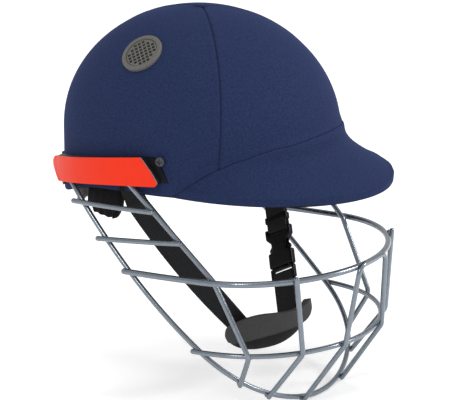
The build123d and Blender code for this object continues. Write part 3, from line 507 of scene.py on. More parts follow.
def thickened(piece, wall):
    """Gives a skin its thickness inwards, by a live modifier."""
    thick = piece.modifiers.new("thickness", "SOLIDIFY")
    thick.thickness = wall
    thick.offset = -1
    return thick


print("hump at its width:", round(hump(1.0, 1.0), 2))

# %% [markdown]
# The cover is cloth, sewn from panels and glued over the shell. Sewn cloth is never a plain surface: at a
# seam it dips where the thread pulls it in and swells a little on both sides, and its edges are tucked
# under. So the cover is made as fine grids that run down from the crown over the CAD surface. Each point
# moves in or out by its distance from the nearest seam and edge, by the sizes listed here.

# %% Seams and edges of the cover
cloth_thickness = 0.8 * mm
seam_depth = 0.8 * mm
seam_width = 0.75 * mm
seam_swell = 0.35 * mm
seam_shoulder = 3.0 * mm
edge_roll = 0.7 * mm
edge_width = 1.6 * mm
edge_tuck = 1.5 * mm
edge_steps = [step * mm for step in (0.0, 0.3, 0.7, 1.1, 1.6, 2.3)]
peak_swell = 0.5 * mm
peak_swell_width = 5.0 * mm
fold_ridge = 0.8 * mm
fold_ridge_width = 1.1 * mm
fold_height = -24.2 * mm
rim_wave = 0.45 * mm
# where the brow seam runs: degrees from straight ahead, and height in mm
brow_seam = ((0, 11.8), (10, 11.2), (19, 9.3), (25, 8.6), (33, 6.0))
brow_seam += ((45, -1.6), (50, -5.3), (57.7, -13.6), (65, -23.6))
brow_seam_end = radians(68.5)
seam_nudges = (-5, -2.5, 0, 2.5, 5)
front_seam = radians(49.8)
front_seam_lean = radians(0.0335) / mm
front_seam_reach = radians(45)
cad_seams = (radians(50.5), -radians(50.5), pi)
half_width, half_length, crown_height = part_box("cover_left")[1]
print("cover reaches, mm:", [round(v / mm, 1) for v in (half_width, half_length, crown_height)])

# %% [markdown]
# The CAD cover tells where the surface is and where the cloth ends. A ray is cast at it from outside, at an
# angle and a height. The rim is found by halving a stretch: where a ray hits, the cloth reaches lower still.

# %% Rays at the CAD cover
ray_start = 0.3
ray_length = 0.8 * ray_start
cad_seam_near = 0.025  # in radians: a ray this close to a CAD seam is cast beside it
cad_seam_aside = 0.035
below_rim = -75.0 * mm
rim_halvings = 12


def rays_on(*node_names):
    """A tree for casting rays at CAD nodes."""
    work = bmesh.new()
    for name in node_names:
        work.from_mesh(frame["nodes"][name].data)
    tree = BVHTree.FromBMesh(work)
    work.free()
    return tree


cover_rays = rays_on("cover_front", "cover_left", "cover_right", "cover_peak")
peak_rays = rays_on("cover_peak")


def turn_between(a, b):
    """Smallest turn from one angle to another."""
    return abs(atan2(sin(a - b), cos(a - b)))


def brow_seam_height(angle):
    """Height of the brow seam at an angle from straight ahead, evened out between the table's places."""
    total = 0.0
    for nudge in seam_nudges:
        turn = abs(angle * 180 / pi + nudge)
        pairs = zip(brow_seam, brow_seam[1:])
        (a, low), (b, high) = next((pair for pair in pairs if turn <= pair[1][0]), brow_seam[-2:])
        total += low + (high - low) * (turn - a) / (b - a)
    return total / len(seam_nudges) * mm


def lean(angle, height):
    """Angle of a column at a height, with the side seams leaning forward towards the crown."""
    turn = atan2(sin(angle), cos(angle))
    near = max(0.0, 1 - abs(abs(turn) - front_seam) / front_seam_reach)
    return angle - (1 if turn > 0 else -1) * front_seam_lean * max(0.0, height) * near * near * (3 - 2 * near)


def outside(tree, angle, height):
    """Place on the outside of a CAD piece at an angle and a height, or nothing."""
    out = Vector((sin(angle), -cos(angle), 0))
    return tree.ray_cast(out * ray_start + Vector((0, 0, height)), -out, ray_length)[0]


def rim_height(angle):
    """Height at which the CAD cover ends below, beside its seams where it has one."""
    at_seam = min(turn_between(angle, s) for s in cad_seams) < cad_seam_near
    beside = angle + (cad_seam_aside if at_seam else 0.0)
    covered, open_below = 0.0, below_rim
    for _ in range(rim_halvings):
        middle = (covered + open_below) / 2
        if outside(cover_rays, beside, middle):
            covered = middle
        else:
            open_below = middle
    return covered


def on_dome(angle, height):
    """Place on the dome at an angle from straight ahead and a height."""
    shrink = sqrt(max(0.0, 1 - (max(height, 0) / crown_height) ** 2))
    reach = shrink / hypot(sin(angle) / half_width, cos(angle) / half_length)
    return Vector((reach * sin(angle), -reach * cos(angle), height))


print("rim of the cover straight ahead, mm:", round(rim_height(0.0) / mm, 1))

# %% [markdown]
# One column is a line down the cover at one angle. High up the dome is an exact ellipsoid, so its places are
# worked out. Lower down the peak leaves the dome, and rays find whichever stands further out. Cloth can't
# follow a sharp inside corner, so the line is evened to equal steps and each place takes the mean of its
# neighbours.

# %% A column of the cover
trace_start = 26.0 * mm
trace_step = 0.12 * mm
even_step = 0.5 * mm
soft_reach = 8
fold_reach = 2
fold_near = 5.0 * mm
arc_steps = 160


def evened(line, step):
    """The same line in even steps."""
    result, left = [line[0]], step
    for a, b in zip(line, line[1:]):
        length = (b - a).length
        while length >= left:
            a = a.lerp(b, left / length)
            result.append(a)
            length, left = (b - a).length, step
        left -= length
    return result + [line[-1]]


def column(angle):
    """Evenly spaced places down the cover at an angle, smoothed as cloth rounds a corner."""
    line = []
    for k in range(arc_steps + 1):
        height = crown_height * cos(pi / 2 * k / arc_steps)
        if height > trace_start:
            line.append(on_dome(lean(angle, height), height))
    height, rim = trace_start, rim_height(angle)
    while height > rim:
        turned = lean(angle, height)
        place = on_dome(turned, height)
        hit = outside(peak_rays, turned, height)
        if hit is not None and hypot(hit.x, hit.y) > hypot(place.x, place.y):
            place = hit
        line.append(place)
        height -= trace_step
    line = evened(line, even_step)
    smooth = []
    for n in range(len(line)):
        reach = min(fold_reach if line[n].z < fold_height + fold_near else soft_reach, n, len(line) - 1 - n)
        smooth.append(sum(line[n - reach : n + reach + 1], Vector()) / (2 * reach + 1))
    return smooth


def measured(line):
    """Lengths along a line of places."""
    lengths = [0.0]
    for a, b in zip(line, line[1:]):
        lengths.append(lengths[-1] + (b - a).length)
    return lengths


def at_length(line, lengths, wanted):
    """Place at a length along a line of places."""
    k = min(max(1, bisect_left(lengths, wanted)), len(line) - 1)
    span = lengths[k] - lengths[k - 1]
    share = clamped((wanted - lengths[k - 1]) / span) if span > 0 else 0.0
    return line[k - 1].lerp(line[k], share)


def marks_between(start, end, count, first, last):
    """Lengths at which a column gets its points, close together towards its finished ends."""
    room = (end - start) / 3
    top = [start + min(s, room) for s in edge_steps] if first else [start]
    low = [end - min(s, room) for s in reversed(edge_steps)] if last else [end]
    inner = count - len(top) - len(low)
    return top + [top[-1] + (low[0] - top[-1]) * (k + 1) / (inner + 1) for k in range(inner)] + low


print("length of the column straight ahead, mm:", round(measured(column(0.0))[-1] / mm, 1))

# %% [markdown]
# Columns stand closer together at the seams, where the cloth dips within a few millimetres, and are even
# elsewhere. Every column gets as many points as its neighbour, so the columns join to a grid of four-sided
# faces. Each point keeps its distances to the seams and edges for the relief in the next step.

# %% Grids of the dome and the peak
column_step = radians(1.2)
seam_steps = [step * mm for step in (0.0, 0.35, 0.7, 1.1, 1.7, 2.5, 3.6)]
dome_rows = 88
peak_rows = 56
seam_angles = (front_seam, -front_seam, pi)
seam_reach = hypot(half_width, half_length) / sqrt(2)
seam_clear = 1.3 * seam_steps[-1] / seam_reach
rim_waves = (7, 17)  # whole waves round the rim
angles = [k * column_step - pi for k in range(round(2 * pi / column_step))]
angles = [a for a in angles if min(turn_between(a, s) for s in seam_angles) > seam_clear]
for seam in seam_angles:
    angles += [seam + side * step / seam_reach for step in seam_steps for side in ((1, -1) if step else (1,))]
angles = sorted(atan2(sin(a), cos(a)) for a in angles)
dome_grid, peak_grid = [], []
for angle in angles:
    line = column(angle)
    lengths = measured(line)
    wave = sin(rim_waves[0] * angle + 1) + sin(rim_waves[1] * angle)
    total = lengths[-1] + rim_wave * wave / 2 - rim_wave
    seam_at = total
    if abs(angle) < brow_seam_end:
        height = brow_seam_height(angle)
        seam_at = min(next((l for l, place in zip(lengths, line) if place.z < height), total), total)
        fold_at = min(zip(lengths, line), key=lambda pair: abs(pair[1].z - fold_height))[0]
        marks = marks_between(seam_at, total, peak_rows, True, True)
        peak_grid.append([(at_length(line, lengths, m), m - seam_at, total - m, m - fold_at) for m in marks])
    marks = marks_between(0.0, seam_at, dome_rows + 1, False, True)[1:]
    away = min(turn_between(angle, s) for s in seam_angles)
    dome_grid.append([(at_length(line, lengths, m), seam_at - m, away) for m in marks])
print("cover columns:", len(dome_grid), "of the dome,", len(peak_grid), "of the peak")

# %% [markdown]
# Now the grids become cloth. A point moves out or in along the surface's own normal by the relief at its
# place, and the last row is tucked in, so no raw edge shows. A live Solidify modifier gives the cloth its
# thickness. The faces over the two vent openings are left out.

# %% Cloth pieces from the grids
vent_back = 11.0 * mm
vent_height = 74.4 * mm
vent_opening = 15.2 * mm
vent_side = half_width * sqrt(1 - (vent_back / half_length) ** 2 - (vent_height / crown_height) ** 2)
vent_place = Vector((vent_side, vent_back, vent_height))


def shaped(grid, raised, closed):
    """Points of a grid moved out along the cloth's own normal."""
    rows, points = len(grid[0]), []
    for c, line in enumerate(grid):
        before = grid[c - 1 if closed else max(0, c - 1)]
        after = grid[(c + 1) % len(grid) if closed else min(len(grid) - 1, c + 1)]
        moved = []
        for r, entry in enumerate(line):
            along = line[min(rows - 1, r + 1)][0] - line[max(0, r - 1)][0]
            normal = along.cross(after[r][0] - before[r][0]).normalized()
            moved.append((entry[0] + normal * raised(entry), normal))
        points.append(moved)
    return points


def cloth_piece(name, points, faces, *node_names):
    """A cloth piece of real thickness from a grid of its outer face."""
    mesh = mesh_of(name, points, faces=faces)
    faced(mesh, Vector((0, 0, 1)))
    piece = settle(name, mesh, cloth, no_crease, *node_names)
    thickened(piece, cloth_thickness)
    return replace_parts(piece, *node_names)


def dome_raised(entry):
    """Relief of the dome's cloth: rolled in at its edge, swollen beside a seam and dipped in it."""
    place, from_edge, away = entry
    from_seam = hypot(place.x, place.y) * sin(min(away, pi / 2))
    rolled = edge_roll * max(0.0, 1 - from_edge / edge_width) ** 2
    swollen = seam_swell * hump(from_seam - seam_shoulder, seam_shoulder)
    return swollen - rolled - (seam_depth + seam_swell / 2) * hump(from_seam, seam_width)


def peak_raised(entry):
    """Relief of the peak's cloth: swollen below the brow seam, with a ridge at its fold."""
    _, from_seam, from_rim, from_fold = entry
    out = peak_swell * hump(from_seam - edge_width, peak_swell_width)
    out += fold_ridge * hump(from_fold, fold_ridge_width)
    fade = min(1.0, (from_seam + from_rim) / (4 * peak_swell_width))
    rolled = max(0.0, 1 - from_seam / edge_width) ** 2 + max(0.0, 1 - from_rim / edge_width) ** 2
    return fade * out - edge_roll * fade * rolled


def clear_of_vents(place):
    """Whether a place on the dome is clear of the vent openings on both sides."""
    return (Vector((abs(place.x), place.y, place.z)) - vent_place).length > vent_opening


points = [Vector((0, 0, crown_height - seam_depth))]
for angle, line in zip(angles, shaped(dome_grid, dome_raised, True)):
    tuck = edge_tuck if abs(angle) < brow_seam_end else cloth_thickness / 2
    points += [place for place, _ in line] + [line[-1][0] - line[-1][1] * tuck]
rows = dome_rows + 1
faces = [(0, 1 + c * rows, 1 + (c + 1) % len(angles) * rows) for c in range(len(angles))]
faces += grid_faces(len(angles), rows, first=1, closed=True)
faces = [face for face in faces if clear_of_vents(sum((points[i] for i in face), Vector()) / len(face))]
cloth_piece("dome_cloth", points, faces, "cover_front", "cover_left", "cover_right")
print("dome cloth faces:", len(faces))

points = []
for line in shaped(peak_grid, peak_raised, False):
    (first, first_out), (last, last_out) = line[0], line[-1]
    points += [first - first_out * edge_tuck] + [place for place, _ in line]
    points += [last - last_out * cloth_thickness / 2]
faces = grid_faces(len(peak_grid), peak_rows + 2)
cloth_piece("peak_cloth", points, faces, "cover_peak")
dress("crown_join", cloth, soft_crease)
print("peak cloth faces:", len(faces))

# %% [markdown]
# The shell, the liner and the hard trim keep their CAD form: they are moulded, and their shape is exact
# already. Only the shading and the finish change. The brackets' lower front corner is cut back, as on the
# real ones.

# %% Shell, plates and fixings
bracket_height = 36.0 * mm
bracket_front_start = -15.0 * mm
bracket_front_run = 24.0 * mm
bracket_cut_back = 10.0 * mm
dress("outer_shell", shell_plastic)
dress("shock_liner", liner_foam)
for side in ("right", "left"):
    for vertex in dress(f"guard_bracket_{side}", bracket_plastic).data.vertices:
        down = clamped(-vertex.co.z / bracket_height)
        ahead = clamped((bracket_front_start - vertex.co.y) / bracket_front_run)
        vertex.co.y += bracket_cut_back * down * ahead
    dress(f"side_plate_{side}", tray_plastic)
    for fixing in ("guard_bolts", "bolt_nuts", "strap_rivet"):
        dress(f"{fixing}_{side}", plated_steel)

# %% [markdown]
# The orange face of the plate is a moulded part that reaches almost to the edge of its grey tray. Its outline
# grows a little, so that only a thin grey line of the tray is left round it, as on the real plate.

# %% Plate faces
face_growth = 2.0 * mm
face_stand = 0.7 * mm
wall_outward = 0.5  # a face whose normal points outwards by less than this is a wall
same_wall = 0.95  # two normals that agree by more than this belong to one wall
corner_least = 0.5  # keeps a sharp corner from growing too far


def outward(place):
    """Level direction square to the helmet's side."""
    return Vector((place.x / half_width**2, place.y / half_length**2, 0)).normalized()


for side in ("right", "left"):
    name = f"plate_face_{side}_dressed"
    mesh = joined(f"plate_face_{side}", name)
    walls = [[] for _ in mesh.vertices]
    for polygon in mesh.polygons:
        if abs(polygon.normal.dot(outward(polygon.center))) < wall_outward:
            for corner in polygon.vertices:
                if all(polygon.normal.dot(other) < same_wall for other in walls[corner]):
                    walls[corner].append(polygon.normal.copy())
    for vertex, found in zip(mesh.vertices, walls):
        if found:
            both = sum(found, Vector())
            vertex.co += face_growth * both / max(corner_least, both.dot(found[0]))
        vertex.co += face_stand * outward(vertex.co)
    piece = settle(name, mesh, orange_plastic, fine_crease, f"plate_face_{side}")
    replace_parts(piece, f"plate_face_{side}")
    print(name, "points:", len(mesh.vertices))

# %% [markdown]
# The vent is a moulded disc with a grid of square holes. On the real one the grid is almost level with its
# flat ring, so the grid is raised and the ring's crest lowered by small amounts along the vent's own axis.

# %% Vents
grid_radius = 13.3 * mm
grid_rise = 1.7 * mm
grid_low = -3.0 * mm
crest_above = 1.0 * mm
crest_height = 1.3 * mm
vent_out = Vector((vent_side / half_width**2, vent_back / half_length**2, vent_height / crown_height**2))
vent_out.normalize()
for side, sign in (("right", -1), ("left", 1)):
    name = f"vent_{side}_dressed"
    mesh = joined(f"vent_{side}", name)
    mirror = Vector((sign, 1, 1))
    middle, axis = vent_place * mirror, vent_out * mirror
    for vertex in mesh.vertices:
        height = (vertex.co - middle).dot(axis)
        if (vertex.co - middle - axis * height).length < grid_radius and height > grid_low:
            vertex.co += axis * grid_rise
        elif height > crest_above:
            vertex.co += axis * (crest_height - height)
    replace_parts(settle(name, mesh, vent_plastic, vent_crease, f"vent_{side}"), f"vent_{side}")
    print(name, "points:", len(mesh.vertices))

# %% [markdown]
# The guard is round wire, bent to shape. The CAD mesh has only a few flat sides round each wire, and a long
# highlight breaks up over them. So the triangles are paired to four-sided faces, one step of subdivision
# rounds the wire, and the little that it shrinks by is given back along its normals, worked out from its
# volume.

# %% Guard wires
paired = [f"{wire}_{side}" for wire in ("stay", "cross_bars", "upright") for side in ("right", "left")]
wires = ["brow_bar", "lower_bar", "chin_bar", *paired, "centre_loop"]


def volume_and_area(mesh):
    """Volume and area of a closed mesh."""
    work = bmesh.new()
    work.from_mesh(mesh)
    result = work.calc_volume(), sum(face.calc_area() for face in work.faces)
    work.free()
    return result


def rounded(name, mesh):
    """A wire's mesh with twice the sides, and as thick as before."""
    result = applied(name, mesh, "SUBSURF", {"levels": 1})
    (before, _), (after, area) = volume_and_area(mesh), volume_and_area(result)
    lost = 2 * after / area * (sqrt(before / after) - 1)
    swell(result, lost)
    print(name, "thickness given back, mm:", round(lost / mm, 3), "faces:", len(result.polygons))
    return result


for wire in wires:
    name = f"{wire}_dressed"
    mesh = rounded(name, joined(wire, name, quads=True))
    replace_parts(settle(name, mesh, coated_steel, no_crease, wire), wire)

# %% [markdown]
# Where two wires cross they are spot-welded, and a small bead is squeezed out. The record lists which wires
# are welded, so the beads are placed from it: where the surfaces of two welded wires come close together. A
# small geometry tree puts a bead on each such point, a little larger or smaller by a fixed seed.

# %% Weld beads by geometry nodes
weld_gap = 2.7 * mm
weld_spread = 14.0 * mm
weld_samples = 6
bead_size = 1.5 * mm
bead_sides, bead_rings = 16, 10
bead_smallest, bead_largest = 0.85, 1.2
bead_seed = 7


def surface_places(node_name):
    """Corners of a CAD node's surface."""
    mesh = joined(node_name, "corners")
    places = [vertex.co.copy() for vertex in mesh.vertices]
    bpy.data.meshes.remove(mesh)
    return places


def meeting_points(first, second):
    """Places where two wires come close together, each the mean of the nearest few."""
    cloud = surface_places(second)
    tree = kdtree.KDTree(len(cloud))
    for k, place in enumerate(cloud):
        tree.insert(place, k)
    tree.balance()
    groups = []
    for corner in surface_places(first):
        place, _, gap = tree.find(corner)
        if gap > weld_gap:
            continue
        middle = (corner + place) / 2
        group = next((g for g in groups if (g[0][1] - middle).length < weld_spread), None)
        if group is None:
            groups.append([(gap, middle)])
        else:
            group.append((gap, middle))
    nearest = [[middle for _, middle in sorted(group, key=lambda g: g[0])[:weld_samples]] for group in groups]
    return [sum(few, Vector()) / len(few) for few in nearest]


def geometry_tree(name, sizes):
    """An empty geometry tree with named sizes as inputs."""
    tree = bpy.data.node_groups.new(name, "GeometryNodeTree")
    tree.interface.new_socket("Geometry", in_out="INPUT", socket_type="NodeSocketGeometry")
    for label, value in sizes.items():
        socket = tree.interface.new_socket(label, in_out="INPUT", socket_type="NodeSocketFloat")
        socket.default_value = value
    tree.interface.new_socket("Geometry", in_out="OUTPUT", socket_type="NodeSocketGeometry")
    return tree, put(tree, "NodeGroupInput"), put(tree, "NodeGroupOutput")


def grown(name, base, tree, sizes):
    """Plain mesh that a geometry tree makes from a base mesh."""
    items = [item for item in tree.interface.items_tree if item.in_out == "INPUT" and item.name in sizes]
    inputs = {item.identifier: sizes[item.name] for item in items}
    mesh = applied(name, base, "NODES", {"node_group": tree}, inputs)
    mesh.name = name
    return mesh


bead_tree, start, end = geometry_tree("weld beads", {"Bead size": bead_size})
bead = put(
    bead_tree,
    "GeometryNodeMeshUVSphere",
    inputs={"Segments": bead_sides, "Rings": bead_rings, "Radius": start.outputs["Bead size"]},
)
uneven = put(
    bead_tree,
    "FunctionNodeRandomValue",
    {"data_type": "FLOAT"},
    {2: bead_smallest, 3: bead_largest, "Seed": bead_seed},
)
beads = put(
    bead_tree,
    "GeometryNodeInstanceOnPoints",
    inputs={
        "Points": start.outputs["Geometry"],
        "Instance": bead.outputs["Mesh"],
        "Scale": uneven.outputs[1],
    },
)
solid = put(bead_tree, "GeometryNodeRealizeInstances", inputs={"Geometry": beads.outputs["Instances"]})
coat = put(
    bead_tree,
    "GeometryNodeSetMaterial",
    inputs={"Geometry": solid.outputs["Geometry"], "Material": weld_steel},
)
bead_tree.links.new(coat.outputs["Geometry"], end.inputs["Geometry"])

welds = []
for pair in frame["record"]["behaviour"]["press_fits"]:
    welds += meeting_points(*pair)
bead_mesh = grown("weld_beads", mesh_of("weld_points", welds), bead_tree, {"Bead size": bead_size})
settle("weld_beads", bead_mesh, weld_steel, rod_crease, "brow_bar")
print("weld beads:", len(welds))

# %% [markdown]
# Nylon webbing is woven with ribs that run across it. The band itself keeps its CAD form, and a second
# geometry tree lays a flattened rib across it at every pitch of the weave, along the line that the strap
# follows.

# %% Line of the webbing
strap_pivot = Vector((0, 8.0 * mm, -20.0 * mm))
strap_lean = radians(27.5)
strap_down = Vector((0, -sin(strap_lean), -cos(strap_lean)))
strap_across = Vector((0, cos(strap_lean), -sin(strap_lean)))
strap_side = 98.5 * mm
strap_turn_drop = 23.0 * mm
strap_chin_side = 31.0 * mm
strap_chin_drop = 158.0 * mm
rib_pitch = 2.1 * mm
rib_length = 20.0 * mm
rib_width = 1.5 * mm
rib_thickness = 2.1 * mm
free_start = -6.0 * mm
free_end = 150.0 * mm
webbing_twist = radians(22)
webbing_bow = 4.0 * mm
webbing_cuts = 40
cut_merge = 0.001 * mm
slant_length = hypot(strap_side - strap_chin_side, strap_chin_drop - strap_turn_drop)


def strap_place(along, out=0.0):
    """Place along the left webbing below its bend, and out from its middle."""
    share = along / slant_length
    side = strap_side + (strap_chin_side - strap_side) * share
    drop = strap_turn_drop + (strap_chin_drop - strap_turn_drop) * share
    outward = Vector((strap_chin_drop - strap_turn_drop, 0, 0)) + strap_down * (strap_side - strap_chin_side)
    return strap_pivot + Vector((side, 0, 0)) + strap_down * drop + outward.normalized() * out


def to_right(place):
    """The same place on the wearer's right."""
    return Vector((-place.x, place.y, place.z))


strap_run = (strap_place(slant_length) - strap_place(0.0)).normalized()
strap_out = (strap_place(0.0, 1.0) - strap_place(0.0)).normalized()


def turned_out(piece):
    """Turns the right webbing's rear edge outwards and bows it, most in the middle of its free length."""
    work = bmesh.new()
    work.from_mesh(piece.data)
    for k in range(webbing_cuts):
        cut = to_right(strap_place(free_start + (free_end - free_start) * k / (webbing_cuts - 1)))
        parts = work.verts[:] + work.edges[:] + work.faces[:]
        bmesh.ops.bisect_plane(work, geom=parts, plane_co=cut, plane_no=to_right(strap_run), dist=cut_merge)
    work.to_mesh(piece.data)
    work.free()
    for vertex in piece.data.vertices:
        place = to_right(vertex.co)
        along = (place - strap_place(0.0)).dot(strap_run)
        share = sin(pi * clamped((along - free_start) / (free_end - free_start)))
        middle = strap_place(0.0) + strap_run * along
        across, stand = (place - middle).dot(strap_across), (place - middle).dot(strap_out)
        angle = webbing_twist * share
        across, stand = across * cos(angle) - stand * sin(angle), stand * cos(angle) + across * sin(angle)
        if share > 0:
            vertex.co = to_right(middle + strap_across * across + strap_out * (stand + webbing_bow * share))


print("slanting length of the webbing, mm:", round(slant_length / mm, 1))

# %% [markdown]
# The tree walks the line in steps of the weave's pitch and lays a flattened rod across it at each step. The
# rod is a cylinder of ten sides, pressed flat by its scale: its length lies across the webbing and its width
# follows the line. It ends in Realize Instances and Set Material, so the result can be kept as a plain mesh.

# %% Geometry tree of the ribs
rib_sides = 10  # of a rod that is 1 wide and 1 long, and is scaled to a rib's sizes
rib_sizes = {"Pitch": rib_pitch, "Length": rib_length, "Width": rib_width, "Thickness": rib_thickness}
rib_tree, start, end = geometry_tree("webbing ribs", rib_sizes)
path = put(rib_tree, "GeometryNodeMeshToCurve", inputs={"Mesh": start.outputs["Geometry"]})
stations = put(
    rib_tree,
    "GeometryNodeResampleCurve",
    {"mode": "LENGTH"},
    {"Curve": path.outputs["Curve"], "Length": start.outputs["Pitch"]},
)
rod = put(rib_tree, "GeometryNodeMeshCylinder", inputs={"Vertices": rib_sides, "Radius": 0.5, "Depth": 1.0})
size = put(
    rib_tree,
    "ShaderNodeCombineXYZ",
    inputs={"X": start.outputs["Thickness"], "Y": start.outputs["Width"], "Z": start.outputs["Length"]},
)
tangent = put(rib_tree, "GeometryNodeInputTangent")
lie_across = put(rib_tree, "FunctionNodeAlignRotationToVector", {"axis": "Z"}, {"Vector": strap_across})
follow = put(
    rib_tree,
    "FunctionNodeAlignRotationToVector",
    {"axis": "Y", "pivot_axis": "Z"},
    {"Rotation": lie_across.outputs["Rotation"], "Vector": tangent.outputs["Tangent"]},
)
ribs = put(
    rib_tree,
    "GeometryNodeInstanceOnPoints",
    inputs={
        "Points": stations.outputs["Curve"],
        "Instance": rod.outputs["Mesh"],
        "Rotation": follow.outputs["Rotation"],
        "Scale": size.outputs["Vector"],
    },
)
solid = put(rib_tree, "GeometryNodeRealizeInstances", inputs={"Geometry": ribs.outputs["Instances"]})
coat = put(
    rib_tree,
    "GeometryNodeSetMaterial",
    inputs={"Geometry": solid.outputs["Geometry"], "Material": webbing_nylon},
)
rib_tree.links.new(coat.outputs["Geometry"], end.inputs["Geometry"])


def ribbed(name, places, node_name, rides=True):
    """Ribs of the webbing along a line of places."""
    base = mesh_of(f"{name}_line", places, edges=[(k, k + 1) for k in range(len(places) - 1)])
    mesh = grown(name, base, rib_tree, rib_sizes)
    return settle(name, mesh, webbing_nylon, rod_crease, node_name, rides=rides)


print("nodes in the rib tree:", len(rib_tree.nodes))

# %% [markdown]
# The ribs stop short of the keeper, which slides over the plain end of the fold. The webbing between the plug
# and the cup goes slack when the plug is pulled out of its socket, so it rides no body and stays where it
# lies.

# %% Webbing of the chin strap
strap_top_drop = 6.0 * mm
strap_top = strap_pivot + Vector((strap_side, 0, 0)) + strap_down * strap_top_drop
cup_edge = 150.0 * mm
fold_edge = 50.0 * mm
plug_edge = 122.0 * mm
right_line = [to_right(p) for p in (strap_top, strap_place(0.0), strap_place(cup_edge))]
turned_out(ribbed("right_strap_ribs", right_line, "right_strap"))
ribbed("left_strap_upper_ribs", [strap_top, strap_place(0.0), strap_place(fold_edge)], "left_strap_upper")
turned_out(dress("right_strap", webbing_nylon))
dress("left_strap_upper", webbing_nylon)
slack_line = [strap_place(plug_edge), strap_place(cup_edge)]
slack_ribs = ribbed("left_strap_lower_ribs", slack_line, "left_strap_lower", rides=False)
slack_band = dress("left_strap_lower", webbing_nylon, rides=False)
for piece in (slack_ribs, slack_band):
    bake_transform(piece)
    print(piece.name, "points:", len(piece.data.vertices))

# %% [markdown]
# The buckle and the keeper are moulded in acetal, with rounded edges everywhere. Their CAD forms have sharp
# steps, so each is remeshed to even small faces and smoothed, which rounds every edge as a mould does, and
# pressed a little flatter, as the real ones are slimmer than their CAD blocks.

# %% Buckle and keeper
moulded_voxel = 0.7 * mm
moulded_passes = 6
moulded_share = 0.5  # of the way to its neighbours' mean that a point moves in one pass
buckle_flatness = 0.72
buckle_along = 72.0 * mm
buckle_middle = strap_place(buckle_along)
all_axes = {"use_axis_x": True, "use_axis_y": True, "use_axis_z": True}
for part in ("strap_keeper", "buckle_socket", "buckle_plug", "buckle_prong_front", "buckle_prong_rear"):
    name = f"{part}_dressed"
    mesh = remeshed(name, joined(part, name), moulded_voxel)
    work = bmesh.new()
    work.from_mesh(mesh)
    for _ in range(moulded_passes):
        bmesh.ops.smooth_vert(work, verts=work.verts, factor=moulded_share, **all_axes)
    for vertex in work.verts:
        stand = (vertex.co - buckle_middle).dot(strap_out)
        vertex.co -= strap_out * stand * (1 - buckle_flatness)
    work.to_mesh(mesh)
    work.free()
    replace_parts(settle(name, mesh, black_plastic, no_crease, part), part)
    print(name, "faces:", len(mesh.polygons))

# %% [markdown]
# The chin cup is pressed from a sheet of foam. Its front wall stands up between two low tips, and a fold
# runs along its foot, below which the sole turns under and lies in shadow. It is a grid round the chin, from
# the rim down to the bottom. The lining is a second, thinner grid inside it, which shows as a purple edge.

# %% Sizes of the chin cup
cup_narrower = 3.0 * mm
cup_low, cup_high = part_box("chin_cup")
cup_half_width = cup_high.x - cup_narrower
cup_ahead = 62.0 * mm
cup_centre = Vector((0, -cup_ahead, cup_high.z))
cup_half_depth = cup_centre.y - cup_low.y
cup_half_height = cup_high.z - cup_low.z
cup_open_top = -58.0 * mm
cup_open_low = cup_high.y
cup_wall = 5.6 * mm
cup_lining = 1.6 * mm
cup_rise = 11.0 * mm
cup_rise_round = 3.2
cup_rise_full = 0.8
cup_dip = 2.5 * mm
cup_dip_width = 0.35
cup_flare = 0.004 / mm
cup_fold_drop = 5.5 * mm
cup_fold_fall = 9.0 * mm
cup_fold_step = 3.2 * mm
cup_fold_soft = 1.2 * mm
cup_fold_ends = 0.2
cup_sole_inset = 1.6 * mm
cup_droop = 18.0 * mm
cup_droop_start = 0.25
cup_droop_round = 1.5
cup_tip_thin = 0.75
cup_tip_start = 0.5
cup_pull = 0.42
cup_pinch = 0.07
cup_edge_round = 1.5 * mm
cup_edge_turn = radians(50)
cup_edge_steps = 3
cup_merge = 0.01 * mm
cup_columns = 96
cup_wall_rows = 9
cup_rows = 34
print("chin cup half width, mm:", round(cup_half_width / mm, 1))

# %% [markdown]
# Each place of the cup's grid is worked out from two shares: how far across the chin it lies, and how far
# down. The wall's rows rise to the rim, and the rows below follow an ellipsoid that is pinched a little, as
# sheet foam is when it is pressed. The far end droops, and the tips get thinner.

# %% Chin cup


def cup_reach(drop):
    """Angle from straight ahead at which the cup ends, at a depth below its tips."""
    shrink = sqrt(max(0.0, 1 - (drop / cup_half_height) ** 2))
    back = cup_open_top + (cup_open_low - cup_open_top) * max(drop, 0.0) / cup_half_height
    share = (cup_centre.y - back) / max(cup_half_depth * shrink, 1e-6)
    return pi if share <= -1 else acos(max(-1.0, min(1.0, share)))


